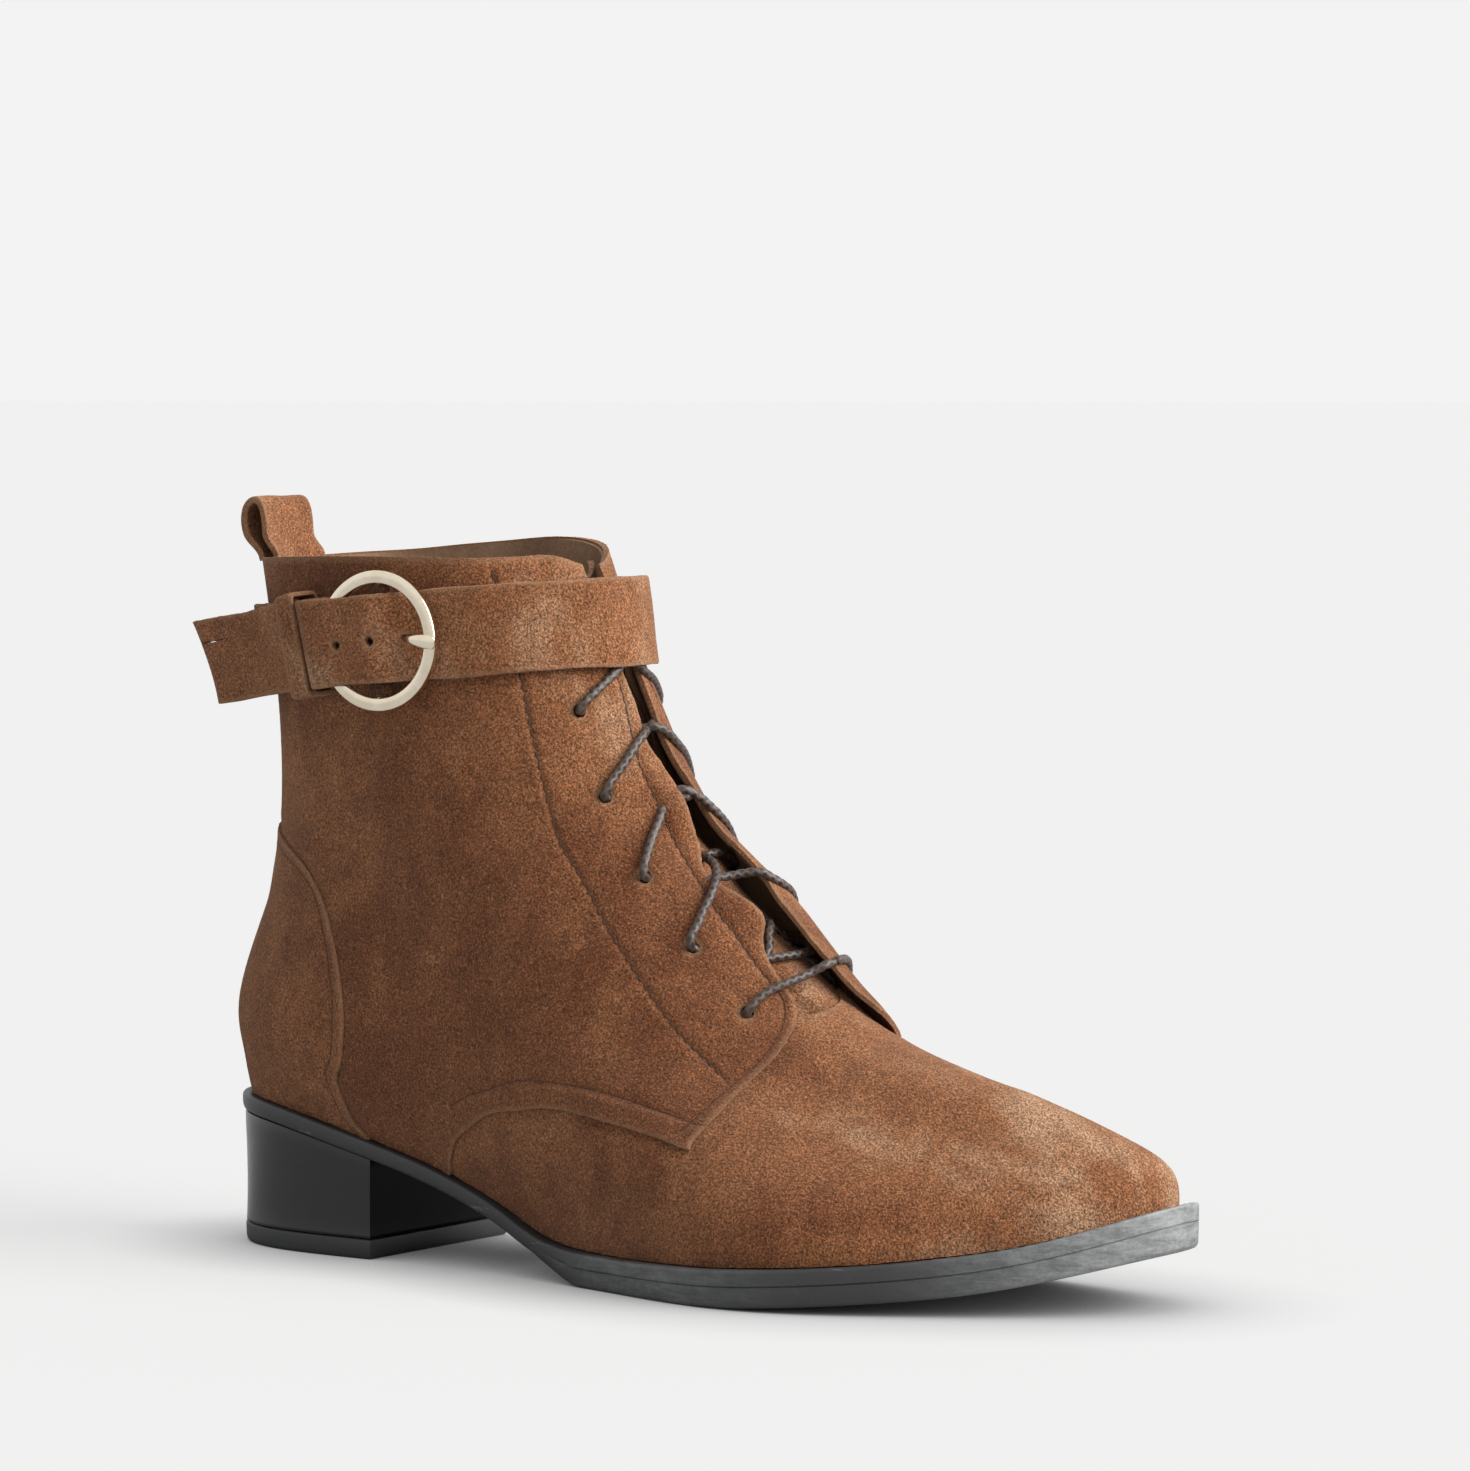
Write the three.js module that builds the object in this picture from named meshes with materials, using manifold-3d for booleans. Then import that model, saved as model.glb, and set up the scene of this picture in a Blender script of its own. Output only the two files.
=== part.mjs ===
// Lace up ankle boot, right foot. Millimetres, +X to the toe, +Y to the medial
// (big toe) side, +Z up. The origin is the centre of the heel's tread on the floor.
import * as THREE from 'three';
import Module from 'manifold-3d';

const wasm = await Module();
wasm.setup();

// ---------------------------------------------------------------- sizes
const HEEL_CENTRE = 28;        // from the heel's back to the centre of its tread
const WALL = 2.0;              // suede and lining together
const GAP = 0.3;               // between pieces that touch
const RIM_BACK = 2.6;          // outsole rim beyond the upper, at the heel
const RIM_BALL = 3.2;          // at the ball
const RIM_TOE = 4.6;           // at the toe
const RIM_THICK = 4.2;         // outsole over the heel block
const BREAST = 56.5;           // heel's back to heel's breast
const LIFT = 5.0;              // top lift
const HEEL_OUT_BACK = 2.4;     // heel block beyond the feather line, at the back
const HEEL_OUT_BREAST = 0.7;   // and at the breast
const INSOLE = 2.0;
const TONGUE = 1.6;
const TONGUE_DEPTH = 4.8;      // tongue's face below the upper's outer face
const STRAP_WIDE = 21.5;
const STRAP_THICK = 2.0;
const RING_OUT = 17.35;        // buckle ring, outer radius
const RING_BAND = 3.4;
const RING_THICK = 1.8;
const LACE_R = 1.2;
const HOLE_R = 1.7;
const LOOP_WIDE = 19;
const LOOP_THICK = 1.9;

// ---------------------------------------------------------------- tables
// Sections of the last from the feather line (t 0) to the collar (t 1).
// bx bz, fx fz: back and front of the section; bow: how much of the feather line's
// curve it follows; rb, rf: plan radius at the back and the front; w12..w88: half
// width at that percentage of its length; m12..m100: sideways shift of its middle.
const SECTIONS = [
  //  t    bx    bz     fx     fz    bow   rb    w12   w30   w50   w70   w88   rf    m12  m30   m50   m70  m88  m100
  [0.00, 3.0, 38.3, 262.0, 24.3, 1.00, 26.0, 27.0, 27.5, 31.0, 41.5, 26.5, 13.0, 0.0, -1.0, -4.0, 0.0, 8.0, 15.0],
  [0.08, 0.5, 48.0, 260.5, 32.5, 0.92, 27.0, 29.5, 30.5, 34.0, 42.5, 27.0, 13.5, 0.0, -1.0, -4.0, 0.0, 8.0, 14.5],
  [0.16, -1.0, 58.0, 250.5, 39.3, 0.75, 27.0, 30.0, 32.0, 35.5, 40.5, 25.5, 11.0, 0.0, -1.0, -3.0, 1.0, 7.5, 12.5],
  [0.26, 0.5, 69.0, 224.5, 49.8, 0.45, 24.0, 28.5, 32.5, 34.5, 34.5, 20.0, 7.5, 0.0, 0.0, -1.5, 1.5, 5.0, 7.0],
  [0.38, 5.0, 82.0, 187.0, 62.5, 0.20, 21.0, 26.5, 31.0, 33.0, 31.5, 22.0, 10.0, 0.0, 0.0, 0.0, 1.0, 3.0, 4.0],
  [0.50, 9.0, 95.0, 160.0, 87.0, 0.05, 19.0, 24.0, 30.0, 32.0, 30.0, 20.5, 12.0, 0.0, 0.0, 0.0, 1.0, 2.0, 3.0],
  [0.65, 11.0, 112.0, 137.0, 109.0, 0.00, 18.0, 21.5, 28.0, 30.5, 28.5, 20.0, 14.0, 0.0, 0.0, 0.0, 0.5, 1.0, 2.0],
  [0.80, 10.5, 135.0, 121.0, 136.0, 0.00, 18.0, 20.5, 27.0, 29.5, 27.5, 20.0, 15.0, 0.0, 0.0, 0.0, 0.0, 0.5, 1.0],
  [1.00, 6.0, 172.0, 104.0, 172.0, 0.00, 20.0, 21.0, 28.0, 30.5, 28.5, 21.0, 17.0, 0.0, 0.0, 0.0, 0.0, 0.0, 0.0],
];
const SPAN = [0, 0.12, 0.3, 0.5, 0.7, 0.88, 1];   // the percentages above
const RISE_MEDIAL = 6.0;       // the collar's medial side stands higher
const RISE_LATERAL = 1.2;
// The collar's own unevenness by angle in degrees, lateral and medial side.
const COLLAR_LATERAL = [[0, 1.3], [30, 1.2], [60, 1.45], [90, 1.7], [110, 1.9], [130, 2.2], [147, 3.0], [158, 3.2], [168, 1.6], [180, 0]];
const COLLAR_MEDIAL = [[0, 1.3], [20, 0.9], [40, -0.1], [60, -1.2], [75, -1.1], [90, -0.4], [105, 1.1], [120, 2.4], [135, 3.1], [150, 3.2], [165, 1.8], [180, 0]];

// Top of the outsole along the foot (x from the heel's back, z).
const FEATHER = [
  [0, 38.3], [22, 36.9], [45, 32.5], [57, 29.8], [72, 26.6], [86, 23.2], [98, 19.8], [109, 15.8], [118, 11.9],
  [126, 9.6], [135, 8.6], [147, 8.4], [164, 8.7], [182, 9.3], [198, 10.5], [209, 11.7], [224, 13.9], [243, 17.7], [262, 24.2],
];
// Underside of the outsole in front of the heel, on the floor under the ball.
const UNDERSIDE = [
  [45, 28.0], [60, 25.6], [70, 23.6], [80, 21.2], [93, 17.8], [105, 13.8], [113, 10.1], [121, 6.0], [128, 2.6],
  [134, 0.3], [140, -0.6], [160, -0.3], [180, 0.0], [198, 1.2], [211, 2.7], [226, 4.7], [245, 8.6], [258, 12.2], [268, 15.5],
];
const SKEW = 0.28;             // the ball line runs back on the lateral side

// Lateral edge of the throat: t, angle in degrees (180 is the front ridge).
const THROAT = [
  [0.405, 156.0], [0.43, 157.5], [0.46, 158.5], [0.50, 159.0], [0.555, 160.5], [0.63, 164.5], [0.70, 167.3], [0.80, 170.6], [0.90, 172.0], [1.06, 173.0],
];
// Lace holes, lowest first: t, angle in degrees, the same on both sides.
const EYELETS = [
  [0.405, 143.0], [0.475, 141.0], [0.570, 141.0], [0.700, 145.0], [0.810, 148.0], [0.905, 150.0],
];

// ---------------------------------------------------------------- curves
function naturalSpline(xs, rows) {
  const n = xs.length;
  const w = rows[0].length;
  const h = xs.slice(1).map((x, i) => x - xs[i]);
  const m = rows.map(() => new Array(w).fill(0));
  for (let k = 0; k < w; k++) {
    const diag = new Array(n).fill(1);
    const upper = new Array(n).fill(0);
    const right = new Array(n).fill(0);
    for (let i = 1; i < n - 1; i++) {
      const slope = (rows[i + 1][k] - rows[i][k]) / h[i] - (rows[i][k] - rows[i - 1][k]) / h[i - 1];
      const low = h[i - 1];
      const d = 2 * (h[i - 1] + h[i]) - low * upper[i - 1];
      diag[i] = d;
      upper[i] = h[i] / d;
      right[i] = (6 * slope - low * right[i - 1]) / d;
    }
    for (let i = n - 2; i >= 1; i--) m[i][k] = right[i] - upper[i] * m[i + 1][k];
  }
  return (x) => {
    let i = 0;
    while (i < n - 2 && x > xs[i + 1]) i++;
    const a = (xs[i + 1] - x) / h[i];
    const b = (x - xs[i]) / h[i];
    const q = (h[i] * h[i]) / 6;
    return rows[i].map((v, k) => a * v + b * rows[i + 1][k]
      + ((a * a * a - a) * m[i][k] + (b * b * b - b) * m[i + 1][k]) * q);
  };
}
const smooth = (a, b, x) => {
  const u = Math.min(1, Math.max(0, (x - a) / (b - a)));
  return u * u * (3 - 2 * u);
};
const mix = (a, b, u) => a + (b - a) * u;
const rad = (d) => (d * Math.PI) / 180;

const sectionAt = naturalSpline(SECTIONS.map((r) => r[0]), SECTIONS.map((r) => r.slice(1)));
const featherAt = naturalSpline(FEATHER.map((r) => r[0]), FEATHER.map((r) => [r[1]]));
const undersideAt = naturalSpline(UNDERSIDE.map((r) => r[0]), UNDERSIDE.map((r) => [r[1]]));
const collarLateral = naturalSpline(COLLAR_LATERAL.map((r) => r[0]), COLLAR_LATERAL.map((r) => [r[1]]));
const collarMedial = naturalSpline(COLLAR_MEDIAL.map((r) => r[0]), COLLAR_MEDIAL.map((r) => [r[1]]));
const throatAt = naturalSpline(THROAT.map((r) => r[0]), THROAT.map((r) => [r[1]]));

const skewed = (x, y) => x - y * SKEW * smooth(50, 110, x) * (1 - smooth(165, 235, x));
const soleTop = (x, y) => featherAt(skewed(x, y))[0];
const soleUnder = (x, y) => Math.max(0, undersideAt(skewed(x, y))[0]);

// Half width and middle of a section at the chord fraction c.
const planCache = new Map();
function planOf(t) {
  if (!planCache.has(t)) {
    const r = sectionAt(t);
    const [bx, , fx, , , rb] = r;
    const rf = r[11];
    const len = fx - bx;
    const full = [Math.sqrt((rb * len) / 2)];
    for (let i = 0; i < 5; i++) full.push(r[6 + i] / (2 * Math.sqrt(SPAN[i + 1] * (1 - SPAN[i + 1]))));
    full.push(Math.sqrt((rf * len) / 2));
    const mid = [0, ...r.slice(12, 18)];
    planCache.set(t, { row: r, at: naturalSpline(SPAN, full.map((k, i) => [k, mid[i]])) });
  }
  return planCache.get(t);
}
const basePlan = () => planOf(0);

// Outer face of the upper. angle 0 is the back, pi the front ridge; positive is lateral.
function upperPoint(t, angle) {
  const { row, at } = planOf(t);
  const [bx, bz, fx, fz, bow] = row;
  const c = (1 - Math.cos(angle)) / 2;
  const [k, mid] = at(c);
  const base = basePlan();
  const [k0, mid0] = base.at(c);
  const x0 = mix(base.row[0], base.row[2], c);
  const y0 = mid0 - k0 * Math.sin(angle);
  const z = mix(bz, fz, c) + bow * (soleTop(x0, y0) - mix(base.row[1], base.row[3], c));
  const rise = (Math.sin(angle) > 0 ? RISE_LATERAL : RISE_MEDIAL) * Math.sin(angle) ** 2 * smooth(0.7, 1, t);
  const turn = (Math.acos(Math.min(1, Math.max(-1, Math.cos(angle)))) * 180) / Math.PI;
  const own = (Math.sin(angle) > 0 ? collarLateral : collarMedial)(turn)[0] * smooth(0.88, 1, t);
  return new THREE.Vector3(mix(bx, fx, c), mid - k * Math.sin(angle), z + rise + own);
}
function upperNormal(t, angle) {
  const e = 1e-3;
  const da = upperPoint(t, angle + e).sub(upperPoint(t, angle - e));
  const dt = upperPoint(t + e, angle).sub(upperPoint(t - e, angle));
  return da.cross(dt).normalize();
}
const onUpper = (t, angle, out) => upperPoint(t, angle).addScaledVector(upperNormal(t, angle), out);

// Feather line moved out sideways by out.
function outline(angle, out) {
  const e = 1e-3;
  const d = upperPoint(0, angle + e).sub(upperPoint(0, angle - e));
  const p = upperPoint(0, angle);
  const n = new THREE.Vector2(d.y, -d.x).normalize();
  return new THREE.Vector2(p.x + n.x * out, p.y + n.y * out);
}

// ---------------------------------------------------------------- solids
// Closed mesh from triangles given by corner points; equal corners are shared.
function solidFrom(triangles) {
  const seen = new Map();
  const position = [];
  const index = [];
  const keyOf = (p) => `${Math.round(p.x * 1e4)},${Math.round(p.y * 1e4)},${Math.round(p.z * 1e4)}`;
  for (const tri of triangles) {
    const ids = tri.map((p) => {
      const key = keyOf(p);
      if (!seen.has(key)) {
        seen.set(key, position.length / 3);
        position.push(p.x, p.y, p.z);
      }
      return seen.get(key);
    });
    if (ids[0] !== ids[1] && ids[1] !== ids[2] && ids[2] !== ids[0]) index.push(...ids);
  }
  const g = new THREE.BufferGeometry();
  g.setAttribute('position', new THREE.Float32BufferAttribute(position, 3));
  g.setIndex(index);
  let volume = 0;
  const [a, b, c] = [new THREE.Vector3(), new THREE.Vector3(), new THREE.Vector3()];
  for (let i = 0; i < index.length; i += 3) {
    a.fromArray(position, index[i] * 3);
    b.fromArray(position, index[i + 1] * 3);
    c.fromArray(position, index[i + 2] * 3);
    volume += a.dot(b.cross(c));
  }
  if (volume < 0) {
    for (let i = 0; i < index.length; i += 3) [index[i], index[i + 1]] = [index[i + 1], index[i]];
    g.setIndex(index);
  }
  return g;
}
const quad = (a, b, c, d) => [[a, b, c], [a, c, d]];

// Two faces of the same grid, closed round the edge; ring closes the second direction.
function slab(front, back, ring = false) {
  const tris = [];
  const ni = front.length;
  const nk = front[0].length;
  const kMax = ring ? nk : nk - 1;
  const at = (g, i, k) => g[i][k % nk];
  for (let i = 0; i < ni - 1; i++) {
    for (let k = 0; k < kMax; k++) {
      tris.push(...quad(at(front, i, k), at(front, i, k + 1), at(front, i + 1, k + 1), at(front, i + 1, k)));
      tris.push(...quad(at(back, i, k), at(back, i + 1, k), at(back, i + 1, k + 1), at(back, i, k + 1)));
    }
  }
  for (let k = 0; k < kMax; k++) {
    tris.push(...quad(at(front, 0, k), at(back, 0, k), at(back, 0, k + 1), at(front, 0, k + 1)));
    tris.push(...quad(at(front, ni - 1, k), at(front, ni - 1, k + 1), at(back, ni - 1, k + 1), at(back, ni - 1, k)));
  }
  if (!ring) {
    for (let i = 0; i < ni - 1; i++) {
      tris.push(...quad(front[i][0], front[i + 1][0], back[i + 1][0], back[i][0]));
      tris.push(...quad(front[i][nk - 1], back[i][nk - 1], back[i + 1][nk - 1], front[i + 1][nk - 1]));
    }
  }
  return solidFrom(tris);
}

// Rows of closed polygons joined one after another. A closing face is added at an
// end only where that polygon has an area.
function rows(polygons, capStart, capEnd) {
  const tris = [];
  for (let j = 0; j < polygons.length - 1; j++) {
    const p = polygons[j];
    const q = polygons[j + 1];
    for (let k = 0; k < p.length; k++) {
      const k2 = (k + 1) % p.length;
      tris.push(...quad(p[k], p[k2], q[k2], q[k]));
    }
  }
  const cap = (p, flip) => {
    const flat = p.map((v) => new THREE.Vector2(v.y, v.z));
    for (const f of THREE.ShapeUtils.triangulateShape(flat, [])) {
      const t = f.map((i) => p[i]);
      tris.push(flip ? [t[2], t[1], t[0]] : t);
    }
  };
  const ccw = THREE.ShapeUtils.area(polygons[0].map((v) => new THREE.Vector2(v.y, v.z))) > 0;
  if (capStart) cap(polygons[0], ccw);
  const ccwEnd = THREE.ShapeUtils.area(polygons.at(-1).map((v) => new THREE.Vector2(v.y, v.z))) > 0;
  if (capEnd) cap(polygons.at(-1), !ccwEnd);
  return solidFrom(tris);
}

function toManifold(geometry, matrix = new THREE.Matrix4()) {
  const g = geometry.index ? geometry.toNonIndexed() : geometry.clone();
  g.applyMatrix4(matrix);
  const p = g.getAttribute('position');
  const tris = [];
  for (let i = 0; i < p.count; i += 3) {
    tris.push([0, 1, 2].map((k) => new THREE.Vector3().fromBufferAttribute(p, i + k)));
  }
  const s = solidFrom(tris);
  const m = new wasm.Mesh({
    numProp: 3,
    vertProperties: new Float32Array(s.getAttribute('position').array),
    triVerts: new Uint32Array(s.index.array),
  });
  return new wasm.Manifold(m);
}
function fromManifold(solid) {
  const m = solid.getMesh();
  const g = new THREE.BufferGeometry();
  g.setAttribute('position', new THREE.BufferAttribute(new Float32Array(m.vertProperties), 3));
  g.setIndex(new THREE.BufferAttribute(new Uint32Array(m.triVerts), 1));
  return g;
}

// Round section of 8 sides swept along points.
function tube(points, radius, steps) {
  const ring = new THREE.Shape();
  for (let i = 0; i < 8; i++) {
    const a = (i + 0.5) * (Math.PI / 4);
    if (i === 0) ring.moveTo(radius * Math.cos(a), radius * Math.sin(a));
    else ring.lineTo(radius * Math.cos(a), radius * Math.sin(a));
  }
  ring.closePath();
  return new THREE.ExtrudeGeometry(ring, {
    steps,
    bevelEnabled: false,
    extrudePath: new THREE.CatmullRomCurve3(points, false, 'centripetal'),
  });
}

// ---------------------------------------------------------------- upper
const AROUND = 60;
const LEVELS = [0, 0.04, 0.08, 0.12, 0.16, 0.21, 0.26, 0.31, 0.36, 0.41, 0.46, 0.52, 0.59, 0.67, 0.76, 0.85, 0.93, 1];
function upperShell() {
  const outer = [];
  const inner = [];
  for (const t of LEVELS) {
    const ro = [];
    const ri = [];
    for (let k = 0; k < AROUND; k++) {
      const a = (2 * Math.PI * k) / AROUND - Math.PI;
      ro.push(upperPoint(t, a));
      if (t === 0) {
        const p = outline(a, -WALL);
        ri.push(new THREE.Vector3(p.x, p.y, soleTop(p.x, p.y)));
      } else {
        ri.push(onUpper(t, a, -WALL));
      }
    }
    outer.push(ro);
    inner.push(ri);
  }
  return slab(outer, inner, true);
}
function throatCutter() {
  const outer = [];
  const inner = [];
  const steps = 13;
  for (let i = 0; i <= steps; i++) {
    const t = mix(0.405, 1.06, i / steps);
    // the lower end of the throat is round
    const half = (180 - throatAt(t)[0]) * (i === 0 ? 0.55 : 1);
    const ro = [];
    const ri = [];
    for (let k = 0; k <= 4; k++) {
      const a = rad(180 + mix(-half, half, k / 4));
      ro.push(onUpper(t, a, 5));
      ri.push(onUpper(t, a, -4));
    }
    outer.push(ro);
    inner.push(ri);
  }
  return slab(outer, inner);
}
function holeCutter(t, angle) {
  const p = upperPoint(t, angle);
  const n = upperNormal(t, angle);
  const q = new THREE.Quaternion().setFromUnitVectors(new THREE.Vector3(0, 1, 0), n);
  const m = new THREE.Matrix4().compose(p, q, new THREE.Vector3(1, 1, 1));
  return toManifold(new THREE.CylinderGeometry(HOLE_R, HOLE_R, 7, 10), m);
}
let upperSolid = toManifold(upperShell()).subtract(toManifold(throatCutter()));
for (const [t, deg] of EYELETS) {
  upperSolid = upperSolid.subtract(holeCutter(t, rad(deg))).subtract(holeCutter(t, rad(-deg)));
}

// ---------------------------------------------------------------- tongue
function tongueSlab() {
  const outer = [];
  const inner = [];
  const steps = 14;
  for (let i = 0; i <= steps; i++) {
    const t = mix(0.345, 0.985, i / steps);
    const half = mix(34, 46, smooth(0.36, 0.6, t)) - (i === 0 || i === steps ? 5 : 0);
    const ro = [];
    const ri = [];
    for (let k = 0; k <= 10; k++) {
      const a = rad(180 + mix(-half, half, k / 10));
      ro.push(onUpper(t, a, -TONGUE_DEPTH));
      ri.push(onUpper(t, a, -TONGUE_DEPTH - TONGUE));
    }
    outer.push(ro);
    inner.push(ri);
  }
  return slab(outer, inner);
}

// ---------------------------------------------------------------- bottom
// Polygons across the foot: out is the outline's distance at the top, the middle
// and the underside.
const ACROSS = 8;
function across(angle, outTop, outMid, outLow, top, mid, low) {
  const pts = [];
  const side = (out) => [outline(angle, out), outline(-angle, out)];
  const [tl, tm] = side(outTop);
  const [ml, mm] = side(outMid);
  const [ll, lm] = side(outLow);
  for (let k = 0; k <= ACROSS; k++) {
    const p = tl.clone().lerp(tm, k / ACROSS);
    pts.push(new THREE.Vector3(p.x, p.y, top(p.x, p.y)));
  }
  if (mid) pts.push(new THREE.Vector3(mm.x, mm.y, mid(mm.x, mm.y)));
  for (let k = ACROSS; k >= 0; k--) {
    const p = ll.clone().lerp(lm, k / ACROSS);
    pts.push(new THREE.Vector3(p.x, p.y, low(p.x, p.y)));
  }
  if (mid) pts.push(new THREE.Vector3(ml.x, ml.y, mid(ml.x, ml.y)));
  return pts;
}
const rimAt = (angle) => {
  const c = (1 - Math.cos(angle)) / 2;
  return mix(mix(RIM_BACK, RIM_BALL, smooth(0.2, 0.62, c)), RIM_TOE, smooth(0.72, 1, c));
};
const outsoleLow = (x, y) => {
  const seat = soleTop(x, y) - GAP - RIM_THICK;
  return mix(seat, Math.min(soleUnder(x, y), seat), smooth(52, 66, x));
};
function outsoleSolid() {
  const polys = [];
  const n = 36;
  for (let j = 0; j <= n; j++) {
    const a = (Math.PI * j) / n;
    const rim = rimAt(a);
    polys.push(across(a, rim - 0.7, rim, rim - 0.9,
      (x, y) => soleTop(x, y) - GAP,
      (x, y) => soleTop(x, y) - GAP - 1.0,
      outsoleLow));
  }
  return rows(polys, false, false);
}
// The heel and its lift end at the breast, a flat face across the foot.
function heelPiece(top, low, shrinkTop, shrinkLow) {
  const breast = Math.acos(1 - (2 * (BREAST - basePlan().row[0])) / (basePlan().row[2] - basePlan().row[0]));
  const polys = [];
  const n = 11;
  for (let j = 0; j <= n; j++) {
    const a = breast * Math.sin((j / n) * (Math.PI / 2)) ** 1.2;
    const out = mix(HEEL_OUT_BACK, HEEL_OUT_BREAST, j / n);
    const p = across(a, out - shrinkTop, 0, out - shrinkLow, top, null, low);
    if (j === n) {
      for (const v of p) {
        const z = v.z > 6 ? top(BREAST, v.y) : v.z;
        v.set(BREAST, v.y, z);
      }
    }
    polys.push(p);
  }
  return rows(polys, false, true);
}
const blockTop = (x, y) => soleTop(x, y) - GAP - RIM_THICK - GAP;
const heelBlock = heelPiece(blockTop, () => LIFT + GAP / 2, 0, 0.1);
const topLift = heelPiece(() => LIFT - GAP / 2, () => 0, 0.1, 0.3);

function insoleSolid() {
  const polys = [];
  const n = 36;
  for (let j = 0; j <= n; j++) {
    const a = (Math.PI * j) / n;
    const out = -WALL - 0.4;
    polys.push(across(a, out - 0.6, 0, out, (x, y) => soleTop(x, y) + 0.1 + INSOLE, null, (x, y) => soleTop(x, y) + 0.1));
  }
  return rows(polys, false, false);
}

// ---------------------------------------------------------------- ankle strap
// Height of the strap's middle, how far its inner face stands off the upper at its
// lower edge, and how much more at its upper edge, by the angle walked from the
// buckle's bar back round the heel, over the front and on over the bar.
const BAR_ANGLE = 93;
const STRAP_PATH = [
  // walk height off  top
  [2, 154.6, 0.9, 0], [15, 153.8, 1.2, 0], [20, 153.5, 1.7, 0], [36, 152.4, 1.8, 0], [50, 151.6, 1.7, 0], [64, 151.0, 1.5, 0.2],
  [78, 150.6, 1.3, 0.3], [93, 150.5, 1.0, 0.4], [110, 150.9, 1.0, 0.4], [130, 152.0, 1.0, 0.4], [155, 153.8, 0.9, 0.3],
  [185, 156.0, 0.8, 0.4], [210, 157.5, 0.9, 1.2], [228, 158.4, 1.2, 2.6], [243, 159.0, 1.8, 4.0], [256, 159.3, 2.3, 4.9],
  [266, 159.4, 2.6, 5.2], [273, 159.4, 2.6, 5.2], [280, 159.3, 2.5, 5.0], [289, 159.1, 2.1, 4.4], [300, 158.8, 1.6, 3.2],
  [314, 158.3, 1.1, 1.8], [328, 157.3, 0.9, 0.8], [337, 156.6, 0.9, 0.2], [342, 156.2, 1.0, 0], [347, 155.9, 1.2, 0], [349, 155.7, 1.5, 0.5], [351, 155.6, 1.8, 1.6],
  [353, 155.4, 2.2, 2.3], [355.5, 155.2, 3.6, 2], [358, 155.0, 5.4, 0.8], [361, 154.7, 6.3, 0.1], [366, 154.3, 6.7, 0], [370, 154.0, 7.3, 0],
  [374, 153.6, 7.9, 0], [377, 153.3, 8.3, 0], [379, 153.1, 8.4, 0], [381, 152.9, 7.5, 0], [384, 152.7, 5.7, 0], [387, 152.3, 5.0, 0],
  [391, 152.0, 4.7, 0], [397, 151.5, 4.7, 0],
];
const TAIL = 28.5;             // free end beyond the last row
function levelAt(angle, z) {
  let lo = 0.6;
  let hi = 1.12;
  for (let i = 0; i < 30; i++) {
    const m = (lo + hi) / 2;
    if (upperPoint(m, angle).z < z) lo = m; else hi = m;
  }
  return (lo + hi) / 2;
}
function faceAt(angle, z, off) {
  const t = levelAt(angle, z);
  const n = upperNormal(t, angle);
  n.z = 0;
  n.normalize();
  const p = upperPoint(t, angle);
  p.z = z;
  return { p: p.addScaledVector(n, off), n };
}
// A strap's station: the lower and upper edge of its inner face, and the way out.
function stationAt(angle, z, off, top = 0) {
  const low = faceAt(angle, z - STRAP_WIDE / 2, off);
  const high = faceAt(angle, z + STRAP_WIDE / 2, off + top);
  return { low: low.p, high: high.p, p: low.p.clone().lerp(high.p, 0.5), n: low.n.clone().add(high.n).normalize() };
}
function strapSolid() {
  const stations = [];
  for (let i = 0; i < STRAP_PATH.length; i++) {
    const row = STRAP_PATH[i];
    const next = STRAP_PATH[i + 1];
    const parts = next ? Math.max(1, Math.ceil((next[0] - row[0]) / 9)) : 1;
    for (let k = 0; k < parts; k++) {
      const [walk, z, off, top] = next ? row.map((v, q) => mix(v, next[q], k / parts)) : row;
      stations.push(stationAt(rad(BAR_ANGLE - walk), z, off, top));
    }
  }
  const last = stations.at(-1);
  const go = last.p.clone().sub(stations.at(-2).p).normalize();
  // the free end leaves the ankle straight and hangs a little
  for (const [d, out] of [[0.35, 0.6], [0.68, 1.3], [1, 1.6]]) {
    const shift = go.clone().multiplyScalar(TAIL * d).addScaledVector(last.n, out * d);
    shift.z = -4.4 * d;
    const slant = d === 1 ? 2.6 : 0;   // the end is cut aslant
    stations.push({
      low: last.low.clone().add(shift).addScaledVector(go, -slant),
      high: last.high.clone().add(shift).addScaledVector(go, slant),
      n: last.n,
    });
  }
  const inner = stations.map((s) => [s.low, s.high]);
  const outer = stations.map((s) => [s.low, s.high].map((e) => e.clone().addScaledVector(s.n, STRAP_THICK)));
  return slab(outer, inner);
}
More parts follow.
